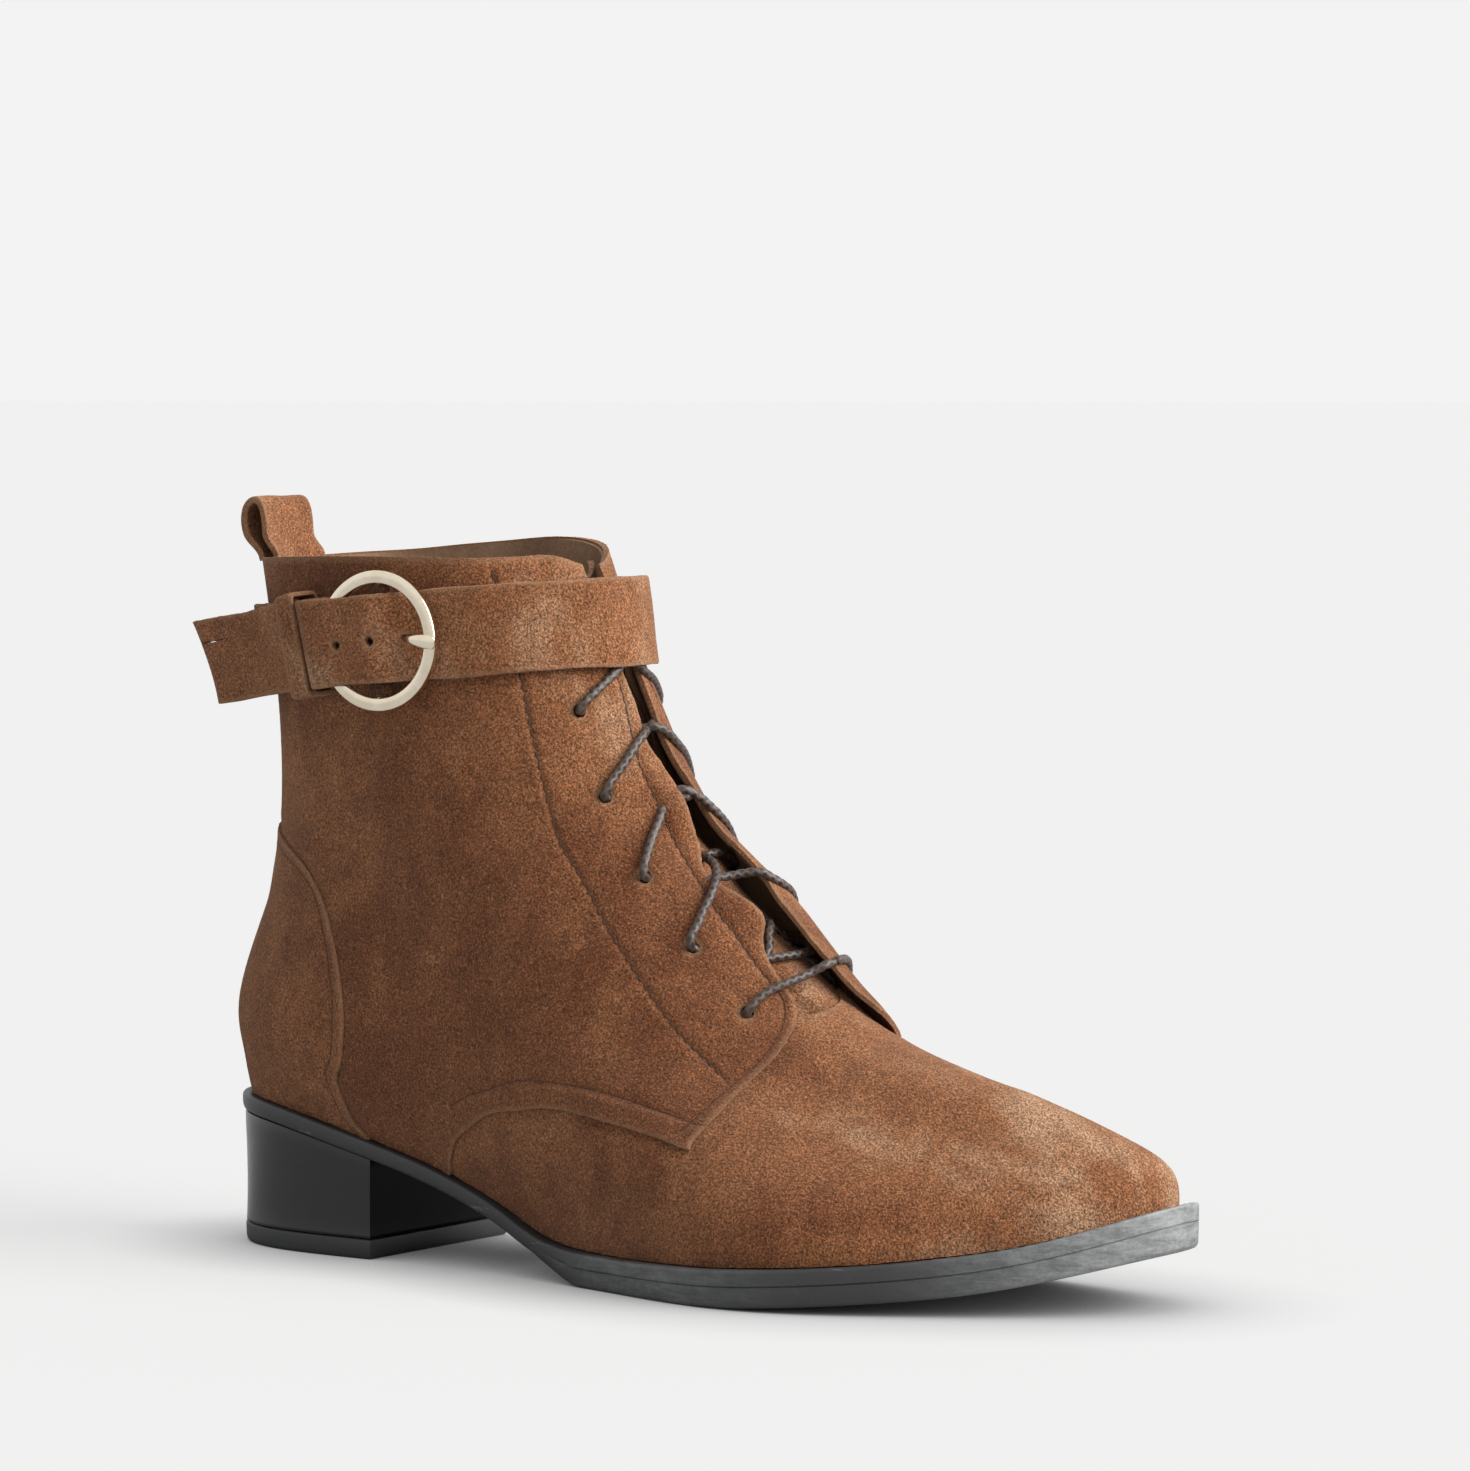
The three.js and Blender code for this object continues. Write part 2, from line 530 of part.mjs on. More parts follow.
// Buckle: its plane faces the lateral side, turned a little to the front.
const BUCKLE_NORMAL = new THREE.Vector3(0.055, -0.9985, 0).normalize();
const bar = stationAt(rad(BAR_ANGLE + 1.1), 154.4, 4.9);
const buckleFrame = new THREE.Matrix4().makeBasis(
  new THREE.Vector3(0, 0, 1).cross(BUCKLE_NORMAL).normalize(),
  new THREE.Vector3(0, 0, 1),
  BUCKLE_NORMAL,
).setPosition(bar.p);
function buckleRing() {
  const r = RING_OUT;
  const b = RING_BAND;
  const h = RING_THICK / 2;
  const profile = [[r - b, -h + 0.4], [r - b + 0.4, -h], [r - 0.4, -h], [r, -h + 0.4], [r, h - 0.5], [r - 0.5, h], [r - b + 0.5, h], [r - b, h - 0.5], [r - b, -h + 0.4]]
    .map(([x, y]) => new THREE.Vector2(x, y));
  const lathe = new THREE.LatheGeometry(profile, 40);
  const turn = new THREE.Matrix4().makeRotationX(Math.PI / 2);
  const barGeometry = new THREE.CylinderGeometry(0.75, 0.75, 2 * (r - b) + 1.6, 10);
  barGeometry.translate(0, 0, -0.1);
  return toManifold(lathe, buckleFrame.clone().multiply(turn)).add(toManifold(barGeometry, buckleFrame));
}
// The pin points to the front.
const towardToe = Math.sign(new THREE.Vector3().setFromMatrixColumn(buckleFrame, 0).x) || 1;
const inBuckle = (along, up, out) => new THREE.Vector3(along * towardToe, up, out).applyMatrix4(buckleFrame);
function buckleRod() {
  return tube([
    inBuckle(2.35, 0, 0.4), inBuckle(4.0, 0, 0.5), inBuckle(7.0, 0, 1.1), inBuckle(10.0, 0, 1.8), inBuckle(13.2, 0, 2.3), inBuckle(17.6, 0, 2.35),
  ], 1.05, 8);
}
// The hole that the pin comes out of.
function pinSlot() {
  const g = new THREE.BoxGeometry(7.4, 3.0, 12);
  g.translate(towardToe * 5.4, 0, 1.5);
  return toManifold(g, buckleFrame);
}
// Keeper: a flat band bent round both layers of the strap.
function keeperBand() {
  const s = stationAt(rad(66.4), 152.9, 0.3);
  const high = STRAP_WIDE / 2 + 1.3;
  const deep = 7.4;
  const th = 1.0;
  const shape = new THREE.Shape();
  shape.moveTo(-high - th, 0);
  shape.lineTo(high + th, 0);
  shape.lineTo(high + th, deep + th * 2 - 0.8);
  shape.lineTo(high + th - 0.8, deep + th * 2);
  shape.lineTo(-high - th + 0.8, deep + th * 2);
  shape.lineTo(-high - th, deep + th * 2 - 0.8);
  shape.closePath();
  const hole = new THREE.Path();
  hole.moveTo(-high, th);
  hole.lineTo(-high, deep + th);
  hole.lineTo(high, deep + th);
  hole.lineTo(high, th);
  hole.closePath();
  shape.holes.push(hole);
  const g = new THREE.ExtrudeGeometry(shape, { depth: 6.5, bevelEnabled: false });
  g.translate(0, 0, -3.25);
  const up = s.high.clone().sub(s.low).normalize();
  const out = s.n.clone().addScaledVector(up, -s.n.dot(up)).normalize();
  const m = new THREE.Matrix4().makeBasis(up, out, new THREE.Vector3().crossVectors(up, out)).setPosition(s.p);
  g.applyMatrix4(m);
  return g;
}

// ---------------------------------------------------------------- pull loop
// Side view of the bent band, from its inner leg up, over the rim and down again:
// distance in front of the collar's inner face, height over the collar.
const LOOP_SIDE = [
  [1.35, -13.0], [1.35, -7.0], [1.3, -2.6], [1.2, -0.6], [0.75, 1.6], [-0.1, 3.6], [-0.7, 6.2], [-1.0, 9.2], [-1.7, 12.4],
  [-3.2, 14.6], [-5.4, 14.5], [-7.1, 12.8], [-7.7, 10.2], [-7.3, 7.4], [-5.9, 4.8], [-4.2, 2.9], [-2.7, 1.6],
];
function pullLoop() {
  const back = upperPoint(1, 0);
  const x0 = back.x + WALL;
  const z0 = back.z;
  const curve = new THREE.CatmullRomCurve3(LOOP_SIDE.map(([u, v]) => new THREE.Vector3(u, 0, v)), false, 'centripetal');
  const n = 30;
  const front = [];
  const rear = [];
  for (let i = 0; i <= n; i++) {
    const p = curve.getPoint(i / n);
    const d = curve.getTangent(i / n);
    const nx = d.z;
    const nz = -d.x;
    const fr = [];
    const rr = [];
    for (let k = 0; k <= 6; k++) {
      const y = mix(-LOOP_WIDE / 2, LOOP_WIDE / 2, k / 6);
      const bend = ((y * y) / 34) * (1 - smooth(0.8, 6, p.z) * 0.75) + Math.max(0, -p.z) * 0.21;
      fr.push(new THREE.Vector3(x0 + p.x + bend + nx * LOOP_THICK / 2, y, z0 + p.z + nz * LOOP_THICK / 2));
      rr.push(new THREE.Vector3(x0 + p.x + bend - nx * LOOP_THICK / 2, y, z0 + p.z - nz * LOOP_THICK / 2));
    }
    front.push(fr);
    rear.push(rr);
  }
  return slab(front, rear);
}

// ---------------------------------------------------------------- laces
const OVER = LACE_R + 0.45;
// Arm from a hole over its own flap's edge, ending in the gap between the flaps.
function laceArm(row, side) {
  const [t0, d0] = EYELETS[row];
  const t1 = EYELETS[row + 1][0] - (row === 4 ? 0.02 : 0);
  const edge = 180 - throatAt(mix(t0, t1, 0.45))[0];
  const start = 180 - d0;
  const pts = [];
  for (const [u, deg, out] of [
    [0.02, start, OVER], [0.2, mix(start, edge, 0.5), OVER + 0.1], [0.38, mix(start, edge, 0.95), OVER + 0.1],
    [0.5, edge * 0.45, OVER - 0.35], [0.6, -edge * 0.05, OVER - 1.3], [0.68, -edge * 0.38, OVER - 1.9],
  ]) {
    pts.push(onUpper(mix(t0, t1, u), side * rad(180 - deg), out));
  }
  return toManifold(tube(pts, LACE_R, 10));
}
const crossing = (row) => laceArm(row, 1).add(laceArm(row, -1));
// The lowest crossing lies inside, between the flaps.
function innerCrossing() {
  const arm = (side) => {
    const pts = [];
    for (const [u, deg] of [[0.22, 14.5], [0.42, 6], [0.6, -4], [0.78, -12.5]]) {
      const t = mix(EYELETS[0][0] + 0.012, EYELETS[1][0] + 0.02, u);
      pts.push(onUpper(t, side * rad(180 - deg), -TONGUE_DEPTH + LACE_R + 0.35));
    }
    return toManifold(tube(pts, LACE_R, 7));
  };
  return arm(1).add(arm(-1));
}
function laceBar() {
  const [t, d] = EYELETS[0];
  const half = 180 - d;
  const pts = [];
  for (const k of [1, 0.75, 0.5, 0.25, 0, -0.25, -0.5, -0.75, -1]) {
    pts.push(onUpper(t + 0.012 * (1 - k * k), rad(180 - half * k), OVER + 0.25 * (1 - k * k)));
  }
  return tube(pts, LACE_R, 14);
}

// ---------------------------------------------------------------- assembly
const suede = (color) => new THREE.MeshStandardMaterial({ color, roughness: 0.95, metalness: 0 });
const SUEDE = 0x7f5335;
const boot = new THREE.Group();
boot.position.x = -HEEL_CENTRE;
function put(name, geometry, material) {
  const g = geometry.isBufferGeometry ? geometry : fromManifold(geometry);
  g.computeVertexNormals();
  const mesh = new THREE.Mesh(g, material);
  mesh.name = name;
  boot.add(mesh);
}
const rubber = new THREE.MeshStandardMaterial({ color: 0x1b1b1c, roughness: 0.55, metalness: 0 });
const stack = new THREE.MeshStandardMaterial({ color: 0x141414, roughness: 0.3, metalness: 0 });
const metal = new THREE.MeshStandardMaterial({ color: 0xd9c7a8, roughness: 0.2, metalness: 1 });
const cord = new THREE.MeshStandardMaterial({ color: 0x3b302b, roughness: 0.6, metalness: 0 });
const board = new THREE.MeshStandardMaterial({ color: 0x9a7f63, roughness: 0.85, metalness: 0 });

put('upper', upperSolid, suede(SUEDE));
put('tongue', tongueSlab(), suede(0x8a5d3c));
put('insole', insoleSolid(), board);
put('outsole', outsoleSolid(), rubber);
put('heel_block', heelBlock, stack);
put('top_lift', topLift, rubber);
put('ankle_strap', toManifold(strapSolid()).subtract(pinSlot()), suede(SUEDE));
put('strap_keeper', keeperBand(), suede(SUEDE));
put('buckle_ring', buckleRing(), metal);
put('buckle_pin', buckleRod(), metal);
put('pull_loop', pullLoop(), suede(SUEDE));
put('lace_bar', laceBar(), cord);
put('lace_crossing_1', innerCrossing(), cord);
for (let row = 1; row < 5; row++) put(`lace_crossing_${row + 1}`, crossing(row), cord);

export default boot;
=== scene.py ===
"""Looks of a lace up ankle boot, right foot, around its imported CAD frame.

Shapes are worked out in millimetres with x measured from the heel's back, +Y to the
medial side and +Z up, and are moved to the frame (metres, origin at the centre of
the heel's tread) when a mesh is made. The upper is a family of rings: t runs from
the feather line (0) to the collar (1), and the angle from the back (0) over the
lateral side (positive) or the medial side (negative) to the front ridge (180).
"""

import math

import bpy
import numpy as np
from mathutils import Matrix, Vector, kdtree


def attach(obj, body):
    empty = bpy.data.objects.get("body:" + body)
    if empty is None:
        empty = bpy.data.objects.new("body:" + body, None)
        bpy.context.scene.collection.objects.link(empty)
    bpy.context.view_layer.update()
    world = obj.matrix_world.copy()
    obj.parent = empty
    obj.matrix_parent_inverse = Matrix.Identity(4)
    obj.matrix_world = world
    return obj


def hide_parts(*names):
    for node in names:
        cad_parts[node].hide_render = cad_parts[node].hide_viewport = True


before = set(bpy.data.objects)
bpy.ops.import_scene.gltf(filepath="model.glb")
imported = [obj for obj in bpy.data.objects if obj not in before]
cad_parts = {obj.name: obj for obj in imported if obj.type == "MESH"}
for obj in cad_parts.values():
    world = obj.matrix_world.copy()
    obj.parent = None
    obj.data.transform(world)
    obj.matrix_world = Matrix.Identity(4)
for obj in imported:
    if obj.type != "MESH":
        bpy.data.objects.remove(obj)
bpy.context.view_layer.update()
rng = np.random.default_rng(11)
HEEL_CENTRE = 28.0

# ---------------------------------------------------------------- tables
SECTIONS = np.array([
    #  t    bx    bz     fx     fz    bow   rb    w12   w30   w50   w70   w88   rf    m12  m30   m50   m70  m88  m100
    [0.00, 3.0, 38.3, 262.0, 24.3, 1.00, 26.0, 27.0, 27.5, 31.0, 41.5, 26.5, 13.0, 0.0, -1.0, -4.0, 0.0, 8.0, 15.0],
    [0.08, 0.5, 48.0, 260.5, 32.5, 0.92, 27.0, 29.5, 30.5, 34.0, 42.5, 27.0, 13.5, 0.0, -1.0, -4.0, 0.0, 8.0, 14.5],
    [0.16, -1.0, 58.0, 250.5, 39.3, 0.75, 27.0, 30.0, 32.0, 35.5, 40.5, 25.5, 11.0, 0.0, -1.0, -3.0, 1.0, 7.5, 12.5],
    [0.26, 0.5, 69.0, 224.5, 49.8, 0.45, 24.0, 28.5, 32.5, 34.5, 34.5, 20.0, 7.5, 0.0, 0.0, -1.5, 1.5, 5.0, 7.0],
    [0.38, 5.0, 82.0, 187.0, 62.5, 0.20, 21.0, 26.5, 31.0, 33.0, 31.5, 22.0, 10.0, 0.0, 0.0, 0.0, 1.0, 3.0, 4.0],
    [0.50, 9.0, 95.0, 160.0, 87.0, 0.05, 19.0, 24.0, 30.0, 32.0, 30.0, 20.5, 12.0, 0.0, 0.0, 0.0, 1.0, 2.0, 3.0],
    [0.65, 11.0, 112.0, 137.0, 109.0, 0.00, 18.0, 21.5, 28.0, 30.5, 28.5, 20.0, 14.0, 0.0, 0.0, 0.0, 0.5, 1.0, 2.0],
    [0.80, 10.5, 135.0, 121.0, 136.0, 0.00, 18.0, 20.5, 27.0, 29.5, 27.5, 20.0, 15.0, 0.0, 0.0, 0.0, 0.0, 0.5, 1.0],
    [1.00, 6.0, 172.0, 104.0, 172.0, 0.00, 20.0, 21.0, 28.0, 30.5, 28.5, 21.0, 17.0, 0.0, 0.0, 0.0, 0.0, 0.0, 0.0],
])
SPAN = np.array([0, 0.12, 0.3, 0.5, 0.7, 0.88, 1.0])
RISE_MEDIAL, RISE_LATERAL = 6.0, 1.2
# The collar's own unevenness by angle, lateral and medial side.
COLLAR_LATERAL = np.array([[0, 1.3], [30, 1.2], [60, 1.45], [90, 1.7], [110, 1.9], [130, 2.2], [147, 3.0], [158, 3.2], [168, 1.6], [180, 0.0]])
COLLAR_MEDIAL = np.array([[0, 1.3], [20, 0.9], [40, -0.1], [60, -1.2], [75, -1.1], [90, -0.4], [105, 1.1], [120, 2.4], [135, 3.1], [150, 3.2], [165, 1.8], [180, 0.0]])
FEATHER = np.array([
    [0, 38.3], [22, 36.9], [45, 32.5], [57, 29.8], [72, 26.6], [86, 23.2], [98, 19.8], [109, 15.8], [118, 11.9],
    [126, 9.6], [135, 8.6], [147, 8.4], [164, 8.7], [182, 9.3], [198, 10.5], [209, 11.7], [224, 13.9], [243, 17.7], [262, 24.2],
])
UNDERSIDE = np.array([
    [45, 28.0], [60, 25.6], [70, 23.6], [80, 21.2], [93, 17.8], [105, 13.8], [113, 10.1], [121, 6.0], [128, 2.6],
    [134, 0.3], [140, -0.6], [160, -0.3], [180, 0.0], [198, 1.2], [211, 2.7], [226, 4.7], [245, 8.6], [258, 12.2], [268, 15.5],
])
SKEW = 0.28
# Lateral panel: its lower edge over the vamp, its front edge, and its flap's edge.
ARC = [(-0.05, 66.2), (0.0, 67), (0.075, 69.5), (0.13, 73.5), (0.19, 79.5), (0.215, 86), (0.225, 92), (0.217, 99), (0.205, 105), (0.19, 109)]
FRONT = [(0.19, 109), (0.21, 111), (0.265, 119.5), (0.31, 128.5), (0.355, 140.5), (0.40, 154), (0.42, 158.0)]
FLAP_LATERAL = [
    (0.42, 158.0), (0.441, 158.6), (0.457, 159.3), (0.47, 160.4), (0.48, 162.0), (0.49, 164.6), (0.50, 167.2), (0.514, 167.4),
    (0.535, 166), (0.552, 164), (0.562, 162.2), (0.575, 161.6), (0.589, 162.6), (0.61, 166), (0.628, 168), (0.657, 170),
    (0.686, 172.3), (0.71, 173.4), (0.739, 173), (0.765, 171.6), (0.78, 171.4), (0.80, 172.5), (0.83, 173), (0.86, 172.8), (0.93, 173), (1.06, 173.4),
]
# Medial panel, the same order; the flap stands over the throat's middle.
FRONT_MEDIAL = [(0.19, 109), (0.21, 111), (0.265, 121), (0.31, 133), (0.345, 148), (0.374, 163), (0.396, 174), (0.413, 178.2)]
FLAP_MEDIAL = [
    (0.413, 178.2), (0.43, 179.6), (0.448, 180.2), (0.461, 181.2), (0.486, 181.8), (0.515, 182), (0.545, 178.6), (0.573, 175.2),
    (0.60, 174.4), (0.652, 175.2), (0.693, 173.8), (0.713, 175), (0.744, 177.6), (0.781, 178.6), (0.813, 176.6), (0.86, 175), (0.95, 174), (1.06, 174),
]
# How far the medial flap's face stands out at its edge.
LIFT_MEDIAL = np.array([[0.0, 0.0], [0.33, 0.2], [0.36, 1.6], [0.40, 3.4], [0.45, 3.9], [0.50, 3.9], [0.55, 3.4], [0.65, 2.2], [0.75, 1.3], [0.85, 0.9], [1.1, 0.6]])
COUNTER = [(0.615, 0), (0.611, 10), (0.595, 23.5), (0.55, 44), (0.485, 54), (0.405, 57.5), (0.325, 57.5), (0.24, 56), (0.155, 53.5), (0.115, 51.5), (0.07, 51.5), (0.03, 52), (0.0, 53.8), (-0.05, 56.5)]
VAMP_TOP = [
    (-0.05, 57), (0.03, 58.5), (0.1, 61), (0.17, 67), (0.235, 75), (0.275, 84), (0.285, 92), (0.28, 100), (0.275, 108), (0.29, 113),
    (0.33, 120), (0.37, 128), (0.395, 137), (0.402, 146), (0.402, 153), (0.404, 158), (0.409, 166), (0.416, 175), (0.424, 184), (0.43, 192.5),
    (0.428, 199), (0.41, 208), (0.40, 216), (0.385, 223), (0.35, 232), (0.32, 240), (0.29, 247), (0.275, 252), (0.28, 260), (0.285, 268),
    (0.275, 276), (0.235, 285), (0.17, 293), (0.1, 299), (0.03, 301.5), (-0.05, 303),
]
EDGE_STITCH = [(0.97, 169.8), (0.85, 168.6), (0.795, 165.7), (0.74, 162.4), (0.685, 161.5), (0.635, 159.5), (0.565, 156.4), (0.525, 154.2), (0.49, 154.6), (0.455, 154.6), (0.432, 155.0), (0.415, 153.8), (0.39, 148.2), (0.347, 136.3), (0.302, 125.2), (0.258, 116.4), (0.213, 109.0)]
EYESTAY = [(0.985, 134.5), (0.865, 133), (0.79, 130.5), (0.705, 128), (0.625, 125), (0.575, 124.5), (0.495, 123.5), (0.455, 124.4), (0.40, 125), (0.34, 123.6), (0.295, 121.8)]
ARC_UPPER = [(0.155, 71.5), (0.205, 77.2), (0.25, 85.5), (0.262, 93), (0.258, 101), (0.243, 107), (0.232, 110.2)]
EYELETS = [(0.405, 143.0), (0.475, 141.0), (0.570, 141.0), (0.700, 145.0), (0.810, 148.0), (0.905, 150.0)]
HOLE_R = 1.75
# Creases placed on the upper: depth (+ is a ridge), half width, both in mm,
# then the line in t and angle.
CREASES = [
    (-0.55, 5.0, [(0.36, 168), (0.335, 150), (0.30, 138), (0.25, 130)]),
    (0.35, 5.0, [(0.31, 172), (0.295, 158), (0.27, 148)]),
    (-0.45, 5.5, [(0.28, 190), (0.30, 205), (0.32, 222)]),
    (-0.35, 7.0, [(0.22, 160), (0.20, 148), (0.15, 138), (0.10, 130)]),
    (-0.40, 6.0, [(0.52, 120), (0.50, 105), (0.47, 88), (0.45, 72)]),
    (0.35, 6.0, [(0.58, 118), (0.57, 98), (0.55, 80)]),
    (-0.45, 6.5, [(0.64, 112), (0.63, 95), (0.60, 78), (0.58, 60)]),
    (-0.35, 6.0, [(0.50, -118), (0.48, -100), (0.46, -80)]),
    (-0.40, 6.5, [(0.63, -112), (0.61, -92), (0.58, -72)]),
    (0.30, 6.0, [(0.72, 105), (0.71, 88), (0.70, 70)]),
    (-0.30, 5.0, [(0.955, 60), (0.965, 85), (0.95, 110)]),
    (-0.45, 6.0, [(0.075, 35), (0.09, 10), (0.085, -15), (0.07, -38)]),
    (-0.35, 5.5, [(0.44, 20), (0.43, 0), (0.44, -20)]),
]


# ---------------------------------------------------------------- curves
def spline(xs, ys):
    """Natural cubic spline, for many points at once."""
    xs, ys = np.asarray(xs, float), np.asarray(ys, float)
    n, h = len(xs), np.diff(xs)
    a, r = np.zeros((n, n)), np.zeros((n,) + ys.shape[1:])
    a[0, 0] = a[-1, -1] = 1
    for i in range(1, n - 1):
        a[i, i - 1], a[i, i], a[i, i + 1] = h[i - 1], 2 * (h[i - 1] + h[i]), h[i]
        r[i] = 6 * ((ys[i + 1] - ys[i]) / h[i] - (ys[i] - ys[i - 1]) / h[i - 1])
    m = np.linalg.solve(a, r)

    def f(x):
        x = np.asarray(x, float)
        i = np.clip(np.searchsorted(xs, x, side="right") - 1, 0, n - 2)
        sh = x.shape + (1,) * (ys.ndim - 1)
        u, v, w = ((xs[i + 1] - x) / h[i]).reshape(sh), ((x - xs[i]) / h[i]).reshape(sh), h[i].reshape(sh)
        return u * ys[i] + v * ys[i + 1] + ((u**3 - u) * m[i] + (v**3 - v) * m[i + 1]) * w * w / 6

    return f


def smooth(a, b, x):
    u = np.clip((np.asarray(x, float) - a) / (b - a), 0, 1)
    return u * u * (3 - 2 * u)


def mix(a, b, u):
    return a + (b - a) * u


section_at = spline(SECTIONS[:, 0], SECTIONS[:, 1:])
feather_at = spline(FEATHER[:, 0], FEATHER[:, 1])
underside_at = spline(UNDERSIDE[:, 0], UNDERSIDE[:, 1])
span_basis = spline(SPAN, np.eye(7))
collar_lateral = spline(COLLAR_LATERAL[:, 0], COLLAR_LATERAL[:, 1])
collar_medial = spline(COLLAR_MEDIAL[:, 0], COLLAR_MEDIAL[:, 1])


def skewed(x, y):
    return x - y * SKEW * smooth(50, 110, x) * (1 - smooth(165, 235, x))


def sole_top(x, y):
    return feather_at(skewed(x, y))


def sole_under(x, y):
    return np.maximum(0, underside_at(skewed(x, y)))


def plan(row, basis):
    length = row[:, 2] - row[:, 0]
    k = np.column_stack([
        np.sqrt(row[:, 5] * length / 2),
        row[:, 6:11] / (2 * np.sqrt(SPAN[1:-1] * (1 - SPAN[1:-1]))),
        np.sqrt(np.maximum(row[:, 11], 1) * length / 2),
    ])
    mid = np.column_stack([np.zeros(len(row)), row[:, 12:18]])
    return (basis * k).sum(1), (basis * mid).sum(1)


def upper(t, deg):
    """Outer face of the upper."""
    t, deg = np.broadcast_arrays(np.asarray(t, float), np.asarray(deg, float))
    shape = t.shape
    t, a = t.ravel(), np.radians(deg.ravel())
    row = section_at(t)
    c = (1 - np.cos(a)) / 2
    basis = span_basis(c)
    k, mid = plan(row, basis)
    base = np.repeat(SECTIONS[:1, 1:], len(t), 0)
    k0, mid0 = plan(base, basis)
    s = np.sin(a)
    x0, y0 = mix(base[:, 0], base[:, 2], c), mid0 - k0 * s
    z = mix(row[:, 1], row[:, 3], c) + row[:, 4] * (sole_top(x0, y0) - mix(base[:, 1], base[:, 3], c))
    z = z + np.where(s > 0, RISE_LATERAL, RISE_MEDIAL) * s * s * smooth(0.7, 1, t)
    turn = np.degrees(np.arccos(np.clip(np.cos(a), -1, 1)))
    z = z + np.where(s > 0, collar_lateral(turn), collar_medial(turn)) * smooth(0.88, 1, t)
    return np.stack([mix(row[:, 0], row[:, 2], c), mid - k * s, z], -1).reshape(shape + (3,))


def normal(t, deg):
    t, deg = np.broadcast_arrays(np.asarray(t, float), np.asarray(deg, float))
    e = 1e-3
    da = upper(t, deg + e * 57.3) - upper(t, deg - e * 57.3)
    dt = upper(t + e, deg) - upper(t - e, deg)
    n = np.cross(da, dt)
    return n / np.linalg.norm(n, axis=-1, keepdims=True)


def on(t, deg, out):
    return upper(t, deg) + normal(t, deg) * np.asarray(out)[..., None]


def outline(deg, out):
    """Feather line moved out sideways."""
    deg = np.asarray(deg, float)
    d = upper(0.0, deg + 0.05) - upper(0.0, deg - 0.05)
    n = np.stack([d[..., 1], -d[..., 0]], -1)
    n /= np.linalg.norm(n, axis=-1, keepdims=True)
    return upper(0.0, deg)[..., :2] + n * np.asarray(out)[..., None]


def catmull(pts, n):
    """Smooth line through the points, n steps along its length."""
    p = np.asarray(pts, float)
    e = np.vstack([2 * p[0] - p[1], p, 2 * p[-1] - p[-2]])
    out = []
    for i in range(len(p) - 1):
        u = np.linspace(0, 1, 13)[:-1, None]
        a, b, c, d = e[i], e[i + 1], e[i + 2], e[i + 3]
        out.append(0.5 * (2 * b + (c - a) * u + (2 * a - 5 * b + 4 * c - d) * u**2 + (3 * b - a - 3 * c + d) * u**3))
    q = np.vstack(out + [p[-1:]])
    return even(q, n)


def even(q, n, scale=None):
    w = q if scale is None else q * scale
    s = np.concatenate([[0], np.cumsum(np.linalg.norm(np.diff(w, axis=0), axis=1))])
    u = np.linspace(0, s[-1], n + 1)
    return np.column_stack([np.interp(u, s, q[:, k]) for k in range(q.shape[1])])


def surface_line(pts, step=0.25):
    """Line through (t, angle) points, dense and even along the upper, with its points."""
    q = catmull(np.asarray(pts, float) * [100, 1], 600) / [100, 1]
    p = upper(q[:, 0], q[:, 1])
    s = np.concatenate([[0], np.cumsum(np.linalg.norm(np.diff(p, axis=0), axis=1))])
    n = max(8, int(s[-1] / step))
    u = np.linspace(0, s[-1], n + 1)
    q = np.column_stack([np.interp(u, s, q[:, k]) for k in range(2)])
    return q, upper(q[:, 0], q[:, 1]), u


def near(pts, line):
    """Distance to a dense line, its nearest index, in the points' own space."""
    tree = kdtree.KDTree(len(line))
    for i, p in enumerate(line):
        tree.insert(Vector(p), i)
    tree.balance()
    idx = np.fromiter((tree.find(Vector(p))[1] for p in pts), int, len(pts))
    best = np.full(len(pts), 1e9)
    for shift in (-1, 0):
        i = np.clip(idx + shift, 0, len(line) - 2)
        a, b = line[i], line[i + 1]
        ab = b - a
        u = np.clip(((pts - a) * ab).sum(1) / np.maximum((ab * ab).sum(1), 1e-12), 0, 1)
        best = np.minimum(best, np.linalg.norm(pts - a - ab * u[:, None], axis=1))
    return best, idx


def inside(poly, t, a):
    """True where (t, a) lies in the closed polygon."""
    hit = np.zeros(len(t), bool)
    for (t0, a0), (t1, a1) in zip(poly, np.roll(poly, -1, 0)):
        if a0 == a1:
            continue
        c = (a0 > a) != (a1 > a)
        hit ^= c & (t < (t1 - t0) * (a - a0) / (a1 - a0) + t0)
    return hit


def values(xs_ys, x):
    return np.interp(x, xs_ys[:, 0], xs_ys[:, 1])


# ---------------------------------------------------------------- meshes
def to_frame(p):
    return (np.asarray(p, float) - [HEEL_CENTRE, 0, 0]) * 0.001


def make(name, verts, faces, material, sharp=35, replaces=(), slot=None, attrs=None):
    """A mesh piece in the frame, riding on the one body."""
    me = bpy.data.meshes.new(name)
    me.from_pydata(to_frame(verts).tolist(), [], [list(map(int, f)) for f in faces])
    me.validate()
    me.update()
    me.shade_smooth()
    me.set_sharp_from_angle(angle=math.radians(sharp))
    for key, vals in (attrs or {}).items():
        if len(vals) == len(me.vertices):
            at = me.attributes.new(key, "FLOAT", "POINT")
            at.data.foreach_set("value", np.asarray(vals, np.float32))
    me.materials.append(material)
    o = bpy.data.objects.new(name, me)
    bpy.context.scene.collection.objects.link(o)
    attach(o, "root")
    if replaces:
        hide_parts(*replaces)
    return o


